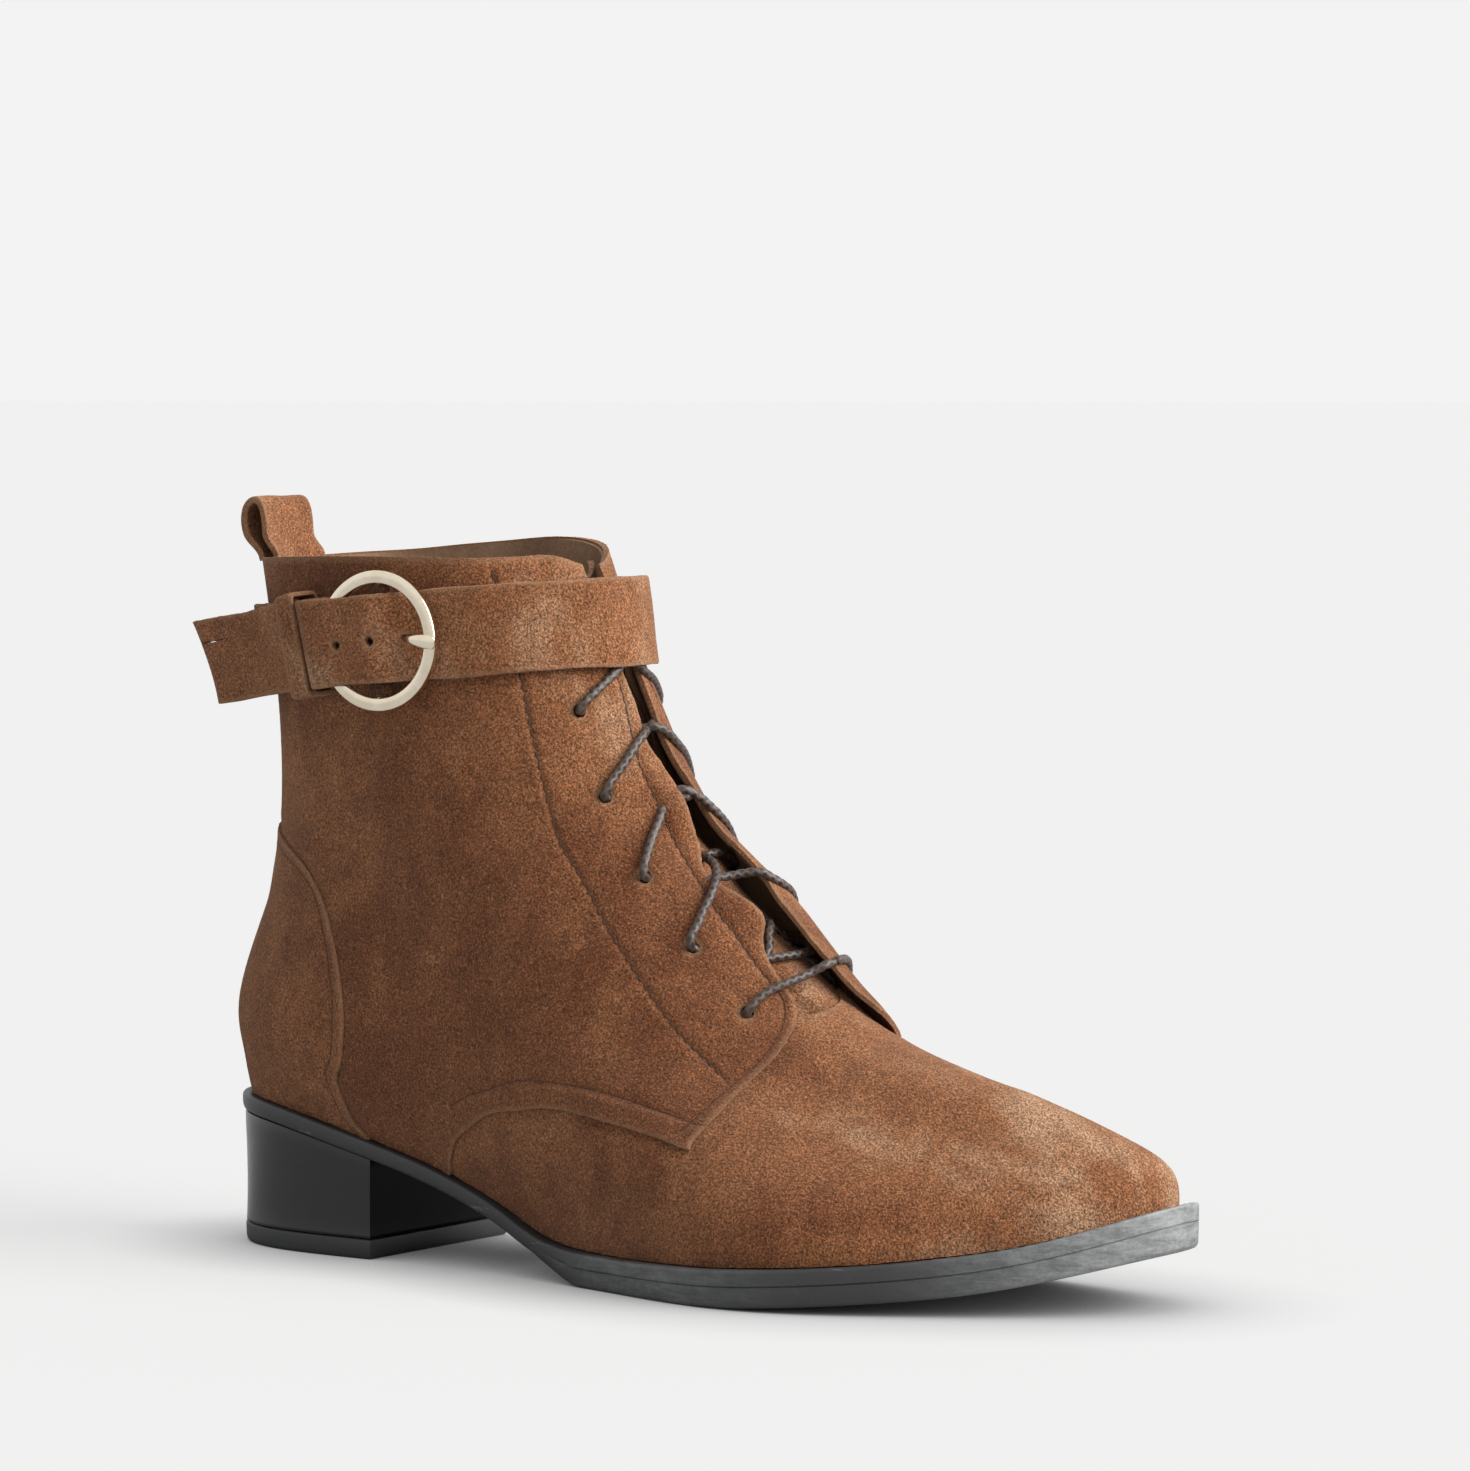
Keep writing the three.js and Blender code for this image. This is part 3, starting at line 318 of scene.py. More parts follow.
def clip(u, v, keep, wrap=False):
    """Grid cells cut along keep = 0. u, v, keep are (ni, nj). Returns u, v and faces."""
    ni, nj = keep.shape
    keep = np.where(np.abs(keep) < 0.12, 0.0, keep)
    cols = nj - 1
    ids = np.arange(ni * nj).reshape(ni, nj)
    if wrap:
        ids[:, -1] = ids[:, 0]
    us, vs, faces, cut = list(u.ravel()), list(v.ravel()), [], {}
    k = keep.ravel()
    good = keep >= 0
    count = good[:-1, :-1].astype(int) + good[1:, :-1] + good[:-1, 1:] + good[1:, 1:]
    for i, j in zip(*np.nonzero(count[:, :cols] > 0)):
        q = [ids[i, j], ids[i, j + 1], ids[i + 1, j + 1], ids[i + 1, j]]
        raw = [i * nj + j, i * nj + j + 1, (i + 1) * nj + j + 1, (i + 1) * nj + j]
        if count[i, j] == 4:
            faces.append(q)
            continue
        poly = []
        for m in range(4):
            a, b, ra, rb = q[m], q[(m + 1) % 4], raw[m], raw[(m + 1) % 4]
            if k[ra] >= 0:
                poly.append(a)
            if (k[ra] > 0 and k[rb] < 0) or (k[ra] < 0 and k[rb] > 0):
                key = (min(a, b), max(a, b))
                if key not in cut:
                    w = k[ra] / (k[ra] - k[rb])
                    cut[key] = len(us)
                    us.append(us[ra] + (us[rb] - us[ra]) * w)
                    vs.append(vs[ra] + (vs[rb] - vs[ra]) * w)
                poly.append(cut[key])
        poly = [p for n, p in enumerate(poly) if p != poly[n - 1]]
        if len(set(poly)) >= 3:
            faces.append(poly)
    used = sorted({p for f in faces for p in f})
    back = {p: n for n, p in enumerate(used)}
    us, vs = np.array(us)[used], np.array(vs)[used]
    return us, vs, [[back[p] for p in f] for f in faces]


def shell(top, low, faces, outward):
    """Two faces with the same net, closed round every border."""
    n = len(top)
    f0 = faces[len(faces) // 2]
    a, b, c = top[f0[0]], top[f0[1]], top[f0[2]]
    if np.dot(np.cross(b - a, c - b), outward[f0[0]]) < 0:
        faces = [f[::-1] for f in faces]
    seen = {}
    for f in faces:
        for a, b in zip(f, f[1:] + f[:1]):
            seen[(a, b)] = seen.get((a, b), 0) + 1
    rim = [(a, b) for (a, b) in seen if (b, a) not in seen]
    out = list(faces) + [[p + n for p in f[::-1]] for f in faces]
    out += [[b, a, a + n, b + n] for a, b in rim]
    return np.vstack([top, low]), out, rim


def line_fields(t, a, p, lines, attrs):
    """Signed distance to each line, and the way along it, as vertex values."""
    for n, pts in enumerate(lines):
        q, lp, run = surface_line(pts)
        d, i = near(p, lp)
        j = np.clip(i, 1, len(lp) - 2)
        tangent = lp[j + 1] - lp[j - 1]
        side = np.einsum("ij,ij->i", np.cross(tangent, p - lp[i]), normal(q[i, 0], q[i, 1]))
        attrs[f"line{n}"] = np.clip(np.where(side > 0, d, -d), -4, 4)
        attrs[f"run{n}"] = run[i]


# ---------------------------------------------------------------- relief of the upper
crease_lines = [(depth, width, surface_line(pts, 1.0)[1]) for depth, width, pts in CREASES]


def swell(p):
    """Low unevenness of stretched suede, the same on every layer."""
    x, y, z = p[:, 0], p[:, 1], p[:, 2]
    w = 0.10 * np.sin(x / 9.1 + 1.3 * np.sin(z / 17.0)) * np.sin(z / 11.3 + y / 14.0)
    w += 0.09 * np.sin(z / 6.7 + x / 15.1 + 2.0) * np.cos(x / 12.7 - y / 9.0)
    w += 0.05 * np.sin(x / 4.1 + y / 5.3) * np.sin(z / 4.7 + 1.0)
    return w


def relief(p):
    """Creases and unevenness at points of the upper's own face, in mm."""
    h = swell(p)
    for depth, width, line in crease_lines:
        d2 = np.full(len(p), 1e9)
        for q in line[::3]:
            d2 = np.minimum(d2, ((p - q) ** 2).sum(1))
        h = h + depth * np.exp(-d2 / (width * width))
    return h


def lift_lateral(t, a):
    e = 0.55 * smooth(150, 170, a) * smooth(0.40, 0.46, t)
    e = e + 2.5 * np.exp(-((t - 0.672) / 0.052) ** 2) * smooth(156.5, 169, a)
    e = e + 1.9 * np.exp(-((t - 0.514) / 0.026) ** 2) * smooth(154, 166, a)
    e = e - 0.7 * np.exp(-((t - 0.775) / 0.018) ** 2) * smooth(162, 172, a)
    return e


def lift_medial(t, a):
    return values(LIFT_MEDIAL, t) * smooth(138, 172, np.abs(a)) ** 1.2


def lift(t, a):
    """How far the flaps stand out of the upper's face."""
    return np.where(a > 0, np.where(a < 180.001, lift_lateral(t, a), 0), lift_medial(t, a))


def lines_of(*lists):
    """Closed or open outline from several smooth runs that meet in corners."""
    runs = [surface_line(pts, 0.3)[0] for pts in lists]
    q = np.vstack([r if n == 0 else r[1:] for n, r in enumerate(runs)])
    return q


def signed(poly_q, t, a, p, closed_hint):
    """Distance in mm to the outline, positive inside the polygon closed by the hint."""
    lp = upper(poly_q[:, 0], poly_q[:, 1])
    d, i = near(p, lp)
    poly = np.vstack([poly_q, closed_hint])
    return np.where(inside(poly, t, a), d, -d), i


lateral_q = lines_of(ARC, FRONT, FLAP_LATERAL)
medial_q = lines_of(ARC, FRONT_MEDIAL, FLAP_MEDIAL) * [1, -1]
counter_q = lines_of(COUNTER)
counter_q = np.vstack([counter_q[::-1], (counter_q * [1, -1])[1:]])
vamp_q = lines_of(VAMP_TOP)
counter_p = upper(counter_q[:, 0], counter_q[:, 1])
lateral_p = upper(lateral_q[:, 0], lateral_q[:, 1])
medial_p = upper(medial_q[:, 0], medial_q[:, 1])


def fuzz(n, size):
    return rng.normal(0, size, n)


# ---------------------------------------------------------------- materials
class Tree:
    """Short names for building a node material."""

    def __init__(self, name):
        self.mat = bpy.data.materials.new(name)
        self.mat.use_nodes = True
        self.nt = self.mat.node_tree
        self.nt.nodes.clear()
        self.place = self.node("ShaderNodeTexCoord").outputs["Object"]

    def node(self, kind, ins=None, **props):
        n = self.nt.nodes.new(kind)
        for k, v in props.items():
            setattr(n, k, v)
        for key, v in (ins or {}).items():
            self.put(n.inputs[key], v)
        return n

    def put(self, sock, v):
        if isinstance(v, bpy.types.NodeSocket):
            self.nt.links.new(v, sock)
        else:
            sock.default_value = v

    def math(self, op, a, b=0.0, c=None, clamp=False):
        n = self.node("ShaderNodeMath", operation=op, use_clamp=clamp)
        self.put(n.inputs[0], a)
        self.put(n.inputs[1], b)
        if c is not None:
            self.put(n.inputs[2], c)
        return n.outputs[0]

    def scaled(self, scale, turn=(0, 0, 0)):
        return self.node("ShaderNodeMapping", {"Vector": self.place, "Scale": scale, "Rotation": turn}).outputs[0]

    def noise(self, scale, detail=2.0, rough=0.5, distort=0.0, vec=None):
        n = self.node("ShaderNodeTexNoise", {"Vector": vec or self.place, "Scale": scale, "Detail": detail, "Roughness": rough, "Distortion": distort})
        return n.outputs[0]

    def voronoi(self, scale, vec=None, feature="F1"):
        n = self.node("ShaderNodeTexVoronoi", {"Vector": vec or self.place, "Scale": scale}, feature=feature)
        return n.outputs[0]

    def span(self, x, a, b, lo=0.0, hi=1.0, kind="SMOOTHSTEP"):
        n = self.node("ShaderNodeMapRange", interpolation_type=kind)
        for s, v in zip(n.inputs[:5], (x, a, b, lo, hi)):
            self.put(s, v)
        return n.outputs[0]

    def blend(self, fac, a, b, kind="MIX"):
        n = self.node("ShaderNodeMix", data_type="RGBA", blend_type=kind, clamp_factor=True)
        self.put(n.inputs[0], fac)
        self.put(n.inputs[6], a if isinstance(a, bpy.types.NodeSocket) else (*a, 1))
        self.put(n.inputs[7], b if isinstance(b, bpy.types.NodeSocket) else (*b, 1))
        return n.outputs[2]

    def value(self, name):
        return self.node("ShaderNodeAttribute", attribute_name=name).outputs["Fac"]

    def times(self, colour, k):
        """Colour times a number that varies."""
        n = self.node("ShaderNodeVectorMath", operation="SCALE")
        self.put(n.inputs[0], colour)
        self.put(n.inputs["Scale"], k)
        return n.outputs[0]

    def finish(self, colour, rough, height=None, depth=0.0003, strength=1.0, **fixed):
        b = self.node("ShaderNodeBsdfPrincipled")
        self.put(b.inputs["Base Color"], colour)
        self.put(b.inputs["Roughness"], rough)
        for k, v in fixed.items():
            b.inputs[k.replace("_", " ")].default_value = v
        if height is not None:
            bump = self.node("ShaderNodeBump", {"Height": height, "Distance": depth, "Strength": strength})
            self.nt.links.new(bump.outputs[0], b.inputs["Normal"])
        out = self.node("ShaderNodeOutputMaterial")
        self.nt.links.new(b.outputs[0], out.inputs[0])
        return self.mat


GRAIN = 3.0
DARK = (0.150, 0.046, 0.0165)
MID = (0.262, 0.099, 0.039)
LIGHT = (0.440, 0.250, 0.142)
SHADOW = (0.045, 0.016, 0.008)


def suede(name, lines=0, rim=True, tone=1.0, light=0.5, dashes=True, painted_light_at=None):
    """Brushed suede: patches of nap, short strokes, a speckled grain and dark stitch
    lines where the mesh carries their distance, with painted shade in the pressed groove
    along each line. Some parts also get painted light and shade by facing and height."""
    k = Tree(name)
    patch = k.noise(17.0, 3.0, 0.55, 1.4)
    strokes = k.noise(1.0, 3.0, 0.6, 0.6, k.scaled((60, 95, 34), (0.3, 0.2, 0.5)))
    fleck = k.noise(210.0, 2.0, 0.6, 0.4)
    # fibres: fine noise on coordinates that another noise bends
    bend = k.node("ShaderNodeVectorMath", operation="MULTIPLY_ADD")
    k.put(bend.inputs[0], k.node("ShaderNodeTexNoise", {"Vector": k.place, "Scale": 520.0, "Detail": 1.0}).outputs["Color"])
    k.put(bend.inputs[1], (0.0008, 0.0008, 0.0008))
    k.put(bend.inputs[2], k.place)
    fibre = k.noise(1900.0, 3.0, 0.7, 0.0, bend.outputs[0])
    nap = k.math("ADD", k.math("MULTIPLY", patch, 0.62), k.math("MULTIPLY", strokes, 0.38))
    nap = k.span(nap, 0.34, 0.70)
    nap = k.math("MULTIPLY_ADD", nap, 0.58, light - 0.40, clamp=True)
    at = k.node("ShaderNodeSeparateXYZ", {"Vector": k.place}).outputs
    if painted_light_at:
        # painted light: lighter where the face turns ahead, toward the key lamp
        ahead = k.node("ShaderNodeSeparateXYZ", {"Vector": k.node("ShaderNodeNewGeometry").outputs["Normal"]}).outputs[0]
        nap = k.math("ADD", nap, k.span(ahead, 0.25, 0.80, 0.0, 0.30 if painted_light_at == "top" else 0.24))
    if painted_light_at == "low":
        # painted shade: the quarter grows darker toward its foot, low by the floor
        nap = k.math("MULTIPLY", nap, k.span(at[2], 0.045, 0.082, 0.45, 1.0))
    if painted_light_at == "top":
        # painted light: the vamp is lighter where it faces up along its ridge and at the toe, where the key lamp falls
        level = k.node("ShaderNodeSeparateXYZ", {"Vector": k.node("ShaderNodeNewGeometry").outputs["Normal"]}).outputs[2]
        nap = k.math("ADD", nap, k.span(level, 0.25, 0.85, -0.15, 0.10))
        nap = k.math("ADD", nap, k.span(at[0], 0.185, 0.222, -0.04, 0.10), clamp=True)
    low = k.blend(k.span(nap, 0.0, 0.5), DARK, MID)
    colour = k.blend(k.span(nap, 0.45, 1.0), low, LIGHT)
    # most of the face is even, the standing fibres catch light in bright flecks
    gain = k.math("MULTIPLY", k.math("POWER", k.math("MULTIPLY", fibre, 2.0), GRAIN), 0.93 * tone)
    gain = k.math("MINIMUM", gain, 1.55)
    grain = k.span(fibre, 0.3, 0.75, 0.0, 1.0, "LINEAR")
    gain = k.math("MULTIPLY", gain, k.span(fleck, 0.3, 0.72, 0.88, 1.12, "LINEAR"))
    colour = k.times(colour, gain)
    colour = k.blend(k.math("MULTIPLY", k.span(fibre, 0.56, 0.76), 0.55 * tone), colour, k.times(k.blend(nap, (0.42, 0.205, 0.098), (0.72, 0.47, 0.29)), 1.15))
    height = k.math("ADD", k.math("MULTIPLY", grain, 0.9), k.math("MULTIPLY", fleck, 0.35))
    wobble = k.math("MULTIPLY", k.math("SUBTRACT", k.noise(900.0, 2.0, 0.6), 0.5), 0.5)
    # stitch lines: dark dashes along each line, and a painted shade in the pressed groove around it
    for n in range(lines):
        d = k.math("ABSOLUTE", k.math("ADD", k.value(f"line{n}"), wobble))
        run = k.value(f"run{n}")
        on_line = k.math("SUBTRACT", 1.0, k.span(d, 0.08, 0.34))
        soft = k.math("SUBTRACT", 1.0, k.span(d, 0.2, 1.5))
        ends = k.span(run, 0.1, 0.8)
        if dashes:
            saw = k.math("PINGPONG", run, 1.45)
            on_line = k.math("MULTIPLY", on_line, k.span(saw, 0.02, 0.5, 0.45, 1.0))
        on_line = k.math("MULTIPLY", on_line, ends)
        soft = k.math("MULTIPLY", soft, ends)
        colour = k.blend(k.math("MULTIPLY", on_line, 0.66), colour, SHADOW)
        colour = k.blend(k.math("MULTIPLY", soft, 0.16), colour, DARK)
        height = k.math("SUBTRACT", height, k.math("MULTIPLY", on_line, 1.1))
        height = k.math("SUBTRACT", height, k.math("MULTIPLY", soft, 0.5))
    if rim:
        e = k.math("ADD", k.value("rim"), k.math("MULTIPLY", wobble, 1.6))
        worn = k.math("SUBTRACT", 1.0, k.span(e, 0.15, 1.5))
        colour = k.blend(k.math("MULTIPLY", worn, 0.42), colour, (0.37, 0.205, 0.115))
    return k.finish(
        colour, k.span(grain, 0.0, 1.0, 0.82, 1.0, "LINEAR"), height, 0.00042, 0.9,
        Sheen_Weight=0.22, Sheen_Roughness=0.55, Sheen_Tint=(0.92, 0.70, 0.52, 1), Specular_IOR_Level=0.12,
    )


# the quarter and the vamp carry painted light and shade by facing and height
suede_quarter = suede("suede_quarter", lines=3, light=0.44, painted_light_at="low")
suede_medial = suede("suede_medial", lines=3, light=0.46)
suede_vamp = suede("suede_vamp", lines=0, light=0.56, painted_light_at="top")
suede_counter = suede("suede_counter", lines=1, light=0.52)
suede_strap = suede("suede_strap", lines=0, light=0.66)
# a darker copy of the suede: painted shade for the fold that lies in shadow inside the ring
suede_fold_shaded = suede("suede_fold_shaded", lines=0, rim=False, tone=0.45, light=0.25)
suede_tongue = suede("suede_tongue", lines=0, rim=False, light=0.72)


def lining_material():
    k = Tree("lining_leather")
    cloud = k.noise(45.0, 3.0, 0.6, 0.5)
    pores = k.voronoi(900.0)
    colour = k.blend(k.span(cloud, 0.3, 0.7), (0.215, 0.125, 0.073), (0.335, 0.205, 0.122))
    colour = k.times(colour, k.span(pores, 0.0, 0.7, 0.82, 1.06, "LINEAR"))
    return k.finish(colour, k.span(cloud, 0.2, 0.8, 0.62, 0.8), k.math("MULTIPLY", pores, 1.0), 0.00012, 0.6, Specular_IOR_Level=0.35)


def rubber_material(name, base, rough, scuff=0.5, coat=0.0, breast=False):
    """Moulded sole: dull black with a greyish bloom and short scuffs."""
    k = Tree(name)
    cloud = k.noise(38.0, 4.0, 0.65, 0.8)
    fine = k.noise(1400.0, 3.0, 0.7)
    marks = k.noise(1.0, 4.0, 0.75, 0.3, k.scaled((120, 120, 620)))
    spots = k.noise(300.0, 5.0, 0.8, 0.4)
    wear = k.math("MULTIPLY", k.span(marks, 0.58, 0.74), k.span(cloud, 0.46, 0.66))
    wear = k.math("ADD", wear, k.math("MULTIPLY", k.span(spots, 0.60, 0.74), k.span(cloud, 0.44, 0.62)), clamp=True)
    wear = k.math("MULTIPLY", wear, scuff)
    at = k.node("ShaderNodeSeparateXYZ", {"Vector": k.place}).outputs
    toe = k.span(at[0], 0.180, 0.236)
    ball = k.math("MULTIPLY", k.span(at[0], 0.085, 0.110), k.math("SUBTRACT", 1.0, k.span(at[0], 0.130, 0.170)))
    where = k.math("ADD", k.math("MULTIPLY", toe, 1.0), k.math("MULTIPLY", ball, 0.4), clamp=True)
    lift_ = k.math("MULTIPLY", where, k.math("MULTIPLY", k.span(marks, 0.30, 0.66, 0.45, 1.0), k.span(spots, 0.36, 0.62, 0.75, 1.0)))
    colour = k.blend(k.math("MULTIPLY", lift_, 0.55 * scuff + 0.05), base, (0.46, 0.465, 0.46))
    colour = k.blend(k.math("MULTIPLY", wear, 0.55), colour, (0.26, 0.255, 0.25))
    colour = k.times(colour, k.span(fine, 0.25, 0.75, 0.86, 1.14, "LINEAR"))
    r = k.math("ADD", k.span(cloud, 0.3, 0.7, rough - 0.06, rough + 0.08, "LINEAR"), k.math("MULTIPLY", wear, 0.25))
    h = k.math("ADD", k.math("MULTIPLY", fine, 0.30), k.math("MULTIPLY", wear, 0.5))
    mat = k.finish(colour, r, h, 0.00010, 0.5, Specular_IOR_Level=0.5, Coat_Weight=coat, Coat_Roughness=0.22)
    if breast:
        # painted shade: the face toward the arch, in the arch's shadow, is mixed toward a dull black, and the flank
        # darkens toward it
        ahead = k.node("ShaderNodeSeparateXYZ", {"Vector": k.node("ShaderNodeNewGeometry").outputs["Normal"]}).outputs[0]
        shade_share = k.math("ADD", k.span(ahead, -0.55, 0.05, 0.0, 0.25), k.span(ahead, 0.45, 0.85, 0.0, 0.60))
        breast_shade = k.node("ShaderNodeBsdfDiffuse", {"Color": (0.006, 0.006, 0.006, 1)})
        both = k.node("ShaderNodeMixShader")
        glossy = [n for n in k.nt.nodes if n.type == "BSDF_PRINCIPLED"][0]
        k.put(both.inputs[0], shade_share)
        k.nt.links.new(glossy.outputs[0], both.inputs[1])
        k.nt.links.new(breast_shade.outputs[0], both.inputs[2])
        target = [n for n in k.nt.nodes if n.type == "OUTPUT_MATERIAL"][0]
        k.nt.links.new(both.outputs[0], target.inputs[0])
    return mat


def metal_material():
    """Pale gold, polished, with faint wiping marks."""
    k = Tree("pale_gold")
    wipe = k.noise(1.0, 3.0, 0.6, 0.2, k.scaled((900, 900, 2600)))
    cloud = k.noise(260.0, 3.0, 0.6)
    colour = k.blend(k.span(cloud, 0.3, 0.7), (0.80, 0.69, 0.52), (0.86, 0.765, 0.61))
    rough = k.math("ADD", k.span(cloud, 0.3, 0.7, 0.10, 0.17, "LINEAR"), k.math("MULTIPLY", wipe, 0.05))
    return k.finish(colour, rough, k.math("MULTIPLY", wipe, 1.0), 0.00001, 0.35, Metallic=1.0)


def cord_material():
    """Waxed cotton, dark grey brown, with painted glints on the braid's ridges and painted shade in the grooves between
    strands.
    """
    k = Tree("waxed_cord")
    ridge = k.value("ridge")
    yarn = k.noise(2600.0, 2.0, 0.7)
    cloud = k.noise(90.0, 3.0, 0.6)
    # painted shade in the grooves and painted highlight on the strand crests
    colour = k.blend(k.span(ridge, 0.0, 1.0), (0.016, 0.010, 0.008), (0.074, 0.049, 0.038))
    colour = k.blend(k.math("MULTIPLY", k.span(cloud, 0.35, 0.7), 0.5), colour, (0.090, 0.062, 0.048))
    colour = k.times(colour, k.span(yarn, 0.25, 0.75, 0.75, 1.3, "LINEAR"))
    return k.finish(colour, k.span(yarn, 0.3, 0.7, 0.36, 0.56, "LINEAR"), yarn, 0.00010, 0.6, Specular_IOR_Level=0.55)


def thread_material():
    k = Tree("stitch_thread")
    yarn = k.noise(3800.0, 2.0, 0.6)
    colour = k.blend(k.span(yarn, 0.3, 0.7), (0.040, 0.017, 0.009), (0.085, 0.038, 0.020))
    return k.finish(colour, 0.72, yarn, 0.00006, 0.5)


def floor_material():
    """Pale paper. To the camera it is partly lit from within, as on a light table, and that
    glow gives way to a painted contact shadow only in the closed gap under the sole."""
    k = Tree("studio_floor")
    near_ = k.node("ShaderNodeAmbientOcclusion", {"Distance": 0.042}, samples=8)
    shade = k.math("POWER", near_.outputs["AO"], 1.15)
    glow = k.node("ShaderNodeEmission", {"Color": (1.0, 1.0, 0.99, 1)})
    k.put(glow.inputs["Strength"], k.math("MULTIPLY", shade, FLOOR_GLOW))
    paper = k.node("ShaderNodeBsdfDiffuse", {"Color": (FLOOR_SEEN, FLOOR_SEEN, FLOOR_SEEN * 0.995, 1)})
    both = k.node("ShaderNodeAddShader")
    k.nt.links.new(glow.outputs[0], both.inputs[0])
    k.nt.links.new(paper.outputs[0], both.inputs[1])
    bounce = k.node("ShaderNodeBsdfDiffuse", {"Color": (0.5, 0.5, 0.5, 1)})
    way = k.node("ShaderNodeLightPath")
    mixed = k.node("ShaderNodeMixShader")
    k.nt.links.new(way.outputs["Is Camera Ray"], mixed.inputs[0])
    k.nt.links.new(bounce.outputs[0], mixed.inputs[1])
    k.nt.links.new(both.outputs[0], mixed.inputs[2])
    out = k.node("ShaderNodeOutputMaterial")
    k.nt.links.new(mixed.outputs[0], out.inputs[0])
    return k.mat


FLOOR_GLOW, FLOOR_SEEN = 0.635, 0.185
lining_mat = lining_material()
sole_mat = rubber_material("sole_rubber_black", (0.029, 0.029, 0.030), 0.46, 1.0)
lift_mat = rubber_material("lift_rubber", (0.032, 0.032, 0.033), 0.50, 0.35)
# the heel block's breast carries painted shade
stack_mat = rubber_material("heel_block_black", (0.012, 0.0115, 0.0115), 0.30, 0.06, coat=0.25, breast=True)
gold_mat = metal_material()
cord_mat = cord_material()
thread_mat = thread_material()


# ---------------------------------------------------------------- upper panels
def grid_over(t0, t1, a0, a1, step, squeeze=1.0):
    """Rows in t and columns in angle about step mm apart."""
    mid = (a0 + a1) / 2
    ts = np.linspace(t0, t1, 400)
    s = np.cumsum(np.r_[0, np.linalg.norm(np.diff(upper(ts, mid), axis=0), axis=1)])
    nt = max(4, int(s[-1] / step))
    t = np.interp(np.linspace(0, s[-1], nt + 1), s, ts)
    best = None
    for level in (0.0, 0.12, 0.3, 0.6, 0.95):
        if t0 <= level <= t1 or best is None:
            a = np.linspace(a0, a1, 700)
            q = np.cumsum(np.r_[0, np.linalg.norm(np.diff(upper(np.clip(level, t0, t1), a), axis=0), axis=1)])
            best = q if best is None else np.maximum(best / best[-1], q / q[-1]) * max(best[-1], q[-1])
    na = max(6, int(best[-1] / step * squeeze))
    ang = np.interp(np.linspace(0, best[-1], na + 1), best, np.linspace(a0, a1, 700))
    return np.meshgrid(t, ang, indexing="ij")


def hole_keep(p, side, keep, radius=HOLE_R):
    """Takes the lace holes out of a keep field."""
    for t, deg in EYELETS:
        c = upper(t, side * deg)
        keep = np.minimum(keep, np.linalg.norm(p - c, axis=-1) - radius)
    return keep


def quarter(name, side, q, lines, material, step):
    t, a = grid_over(0.0, 1.0, 0.0 if side > 0 else -186.0, 176.0 if side > 0 else 0.0, step)
    # keep field: inside the panel's outline, with the lace holes taken out
    p = upper(t, a).reshape(-1, 3)
    close = [[1.3, side * 185], [1.3, -side * 10], [-0.3, -side * 10], [-0.3, side * 66]]
    d, _ = signed(q, t.ravel(), a.ravel(), p, close)
    keep = np.clip(d, -5, 5).reshape(t.shape)
    keep = hole_keep(p.reshape(t.shape + (3,)), side, keep)
    tt, aa, faces = clip(t, a, keep)
    p = upper(tt, aa)
    n = normal(tt, aa)
    edge = near(p, upper(q[:, 0], q[:, 1]))[0]
    hole = np.min([np.linalg.norm(p - upper(et, side * ed), axis=1) - HOLE_R for et, ed in EYELETS], axis=0)
    over = smooth(0.0, 5.5, near(p, upper(*surface_line([(u, side * v) for u, v in ARC + FRONT[1:]])[0].T))[0])
    over = np.minimum(over, 1)
    inc = inside(np.vstack([counter_q, [[-0.3, -60], [-0.3, 60]]]), tt, aa)
    dc = near(p, counter_p)[0]
    flap = lift(tt, aa) if side > 0 else lift_medial(tt, aa)
    out = 0.40 * (1 - over) + relief(p) + flap
    out -= np.where(inc, 0.65 + 0 * dc, 0.30 * (1 - smooth(0.4, 4.0, dc)))
    # pressed down along the stitch lines
    for pts in lines:
        ld = near(p, surface_line(pts)[1])[0]
        out -= 0.30 * np.exp(-((ld / 0.9) ** 2))
    if side > 0:
        band = smooth(0, 1.2, near(p, surface_line(ARC_UPPER)[1])[0])
        below = near(p, surface_line(ARC)[1])[0] < 5.4
        out += np.where(below & (aa > 70) & (aa < 112) & (tt < 0.27), 0.32 * band, 0)
    out -= 0.28 * (1 - np.sqrt(np.clip(1 - (1 - np.clip(edge / 0.9, 0, 1)) ** 2, 0, 1)))
    out -= 0.55 * np.exp(-((np.clip(hole, 0, 9) / 0.9) ** 2))
    out += fuzz(len(out), 0.012)
    thick = mix(1.05, 1.15, over)
    low = mix(-0.68, -1.32, over) + relief(p) * 0.7 + flap
    low = np.minimum(low, out - 0.35)
    low = np.where(inc, np.minimum(low, -1.3), low)
    top_p, low_p = p + n * out[:, None], p + n * low[:, None]
    v, f, rim = shell(top_p, low_p, faces, n)
    # raw edges are a little uneven
    r = np.array(sorted({x for e in rim for x in e}))
    v[r] += rng.normal(0, 0.05, (len(r), 3))
    attrs = {"rim": np.tile(np.minimum(np.minimum(edge, np.clip(hole, 0, 6)), 1.0 * np.abs(1 - tt) * 118), 2)}
    more = {}
    line_fields(tt, aa, p, lines, more)
    attrs |= {k: np.tile(x, 2) for k, x in more.items()}
    return make(name, v, f, material, 40, slot="suede", attrs=attrs)


mirror = lambda pts: [(t, -a) for t, a in pts]
quarter_lateral = quarter("quarter_lateral", 1, lateral_q, [EDGE_STITCH, EYESTAY, ARC_UPPER], suede_quarter, 1.0)
quarter_medial = quarter("quarter_medial", -1, medial_q, [mirror(EDGE_STITCH), mirror(EYESTAY), mirror(ARC_UPPER)], suede_medial, 1.1)
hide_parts("upper")


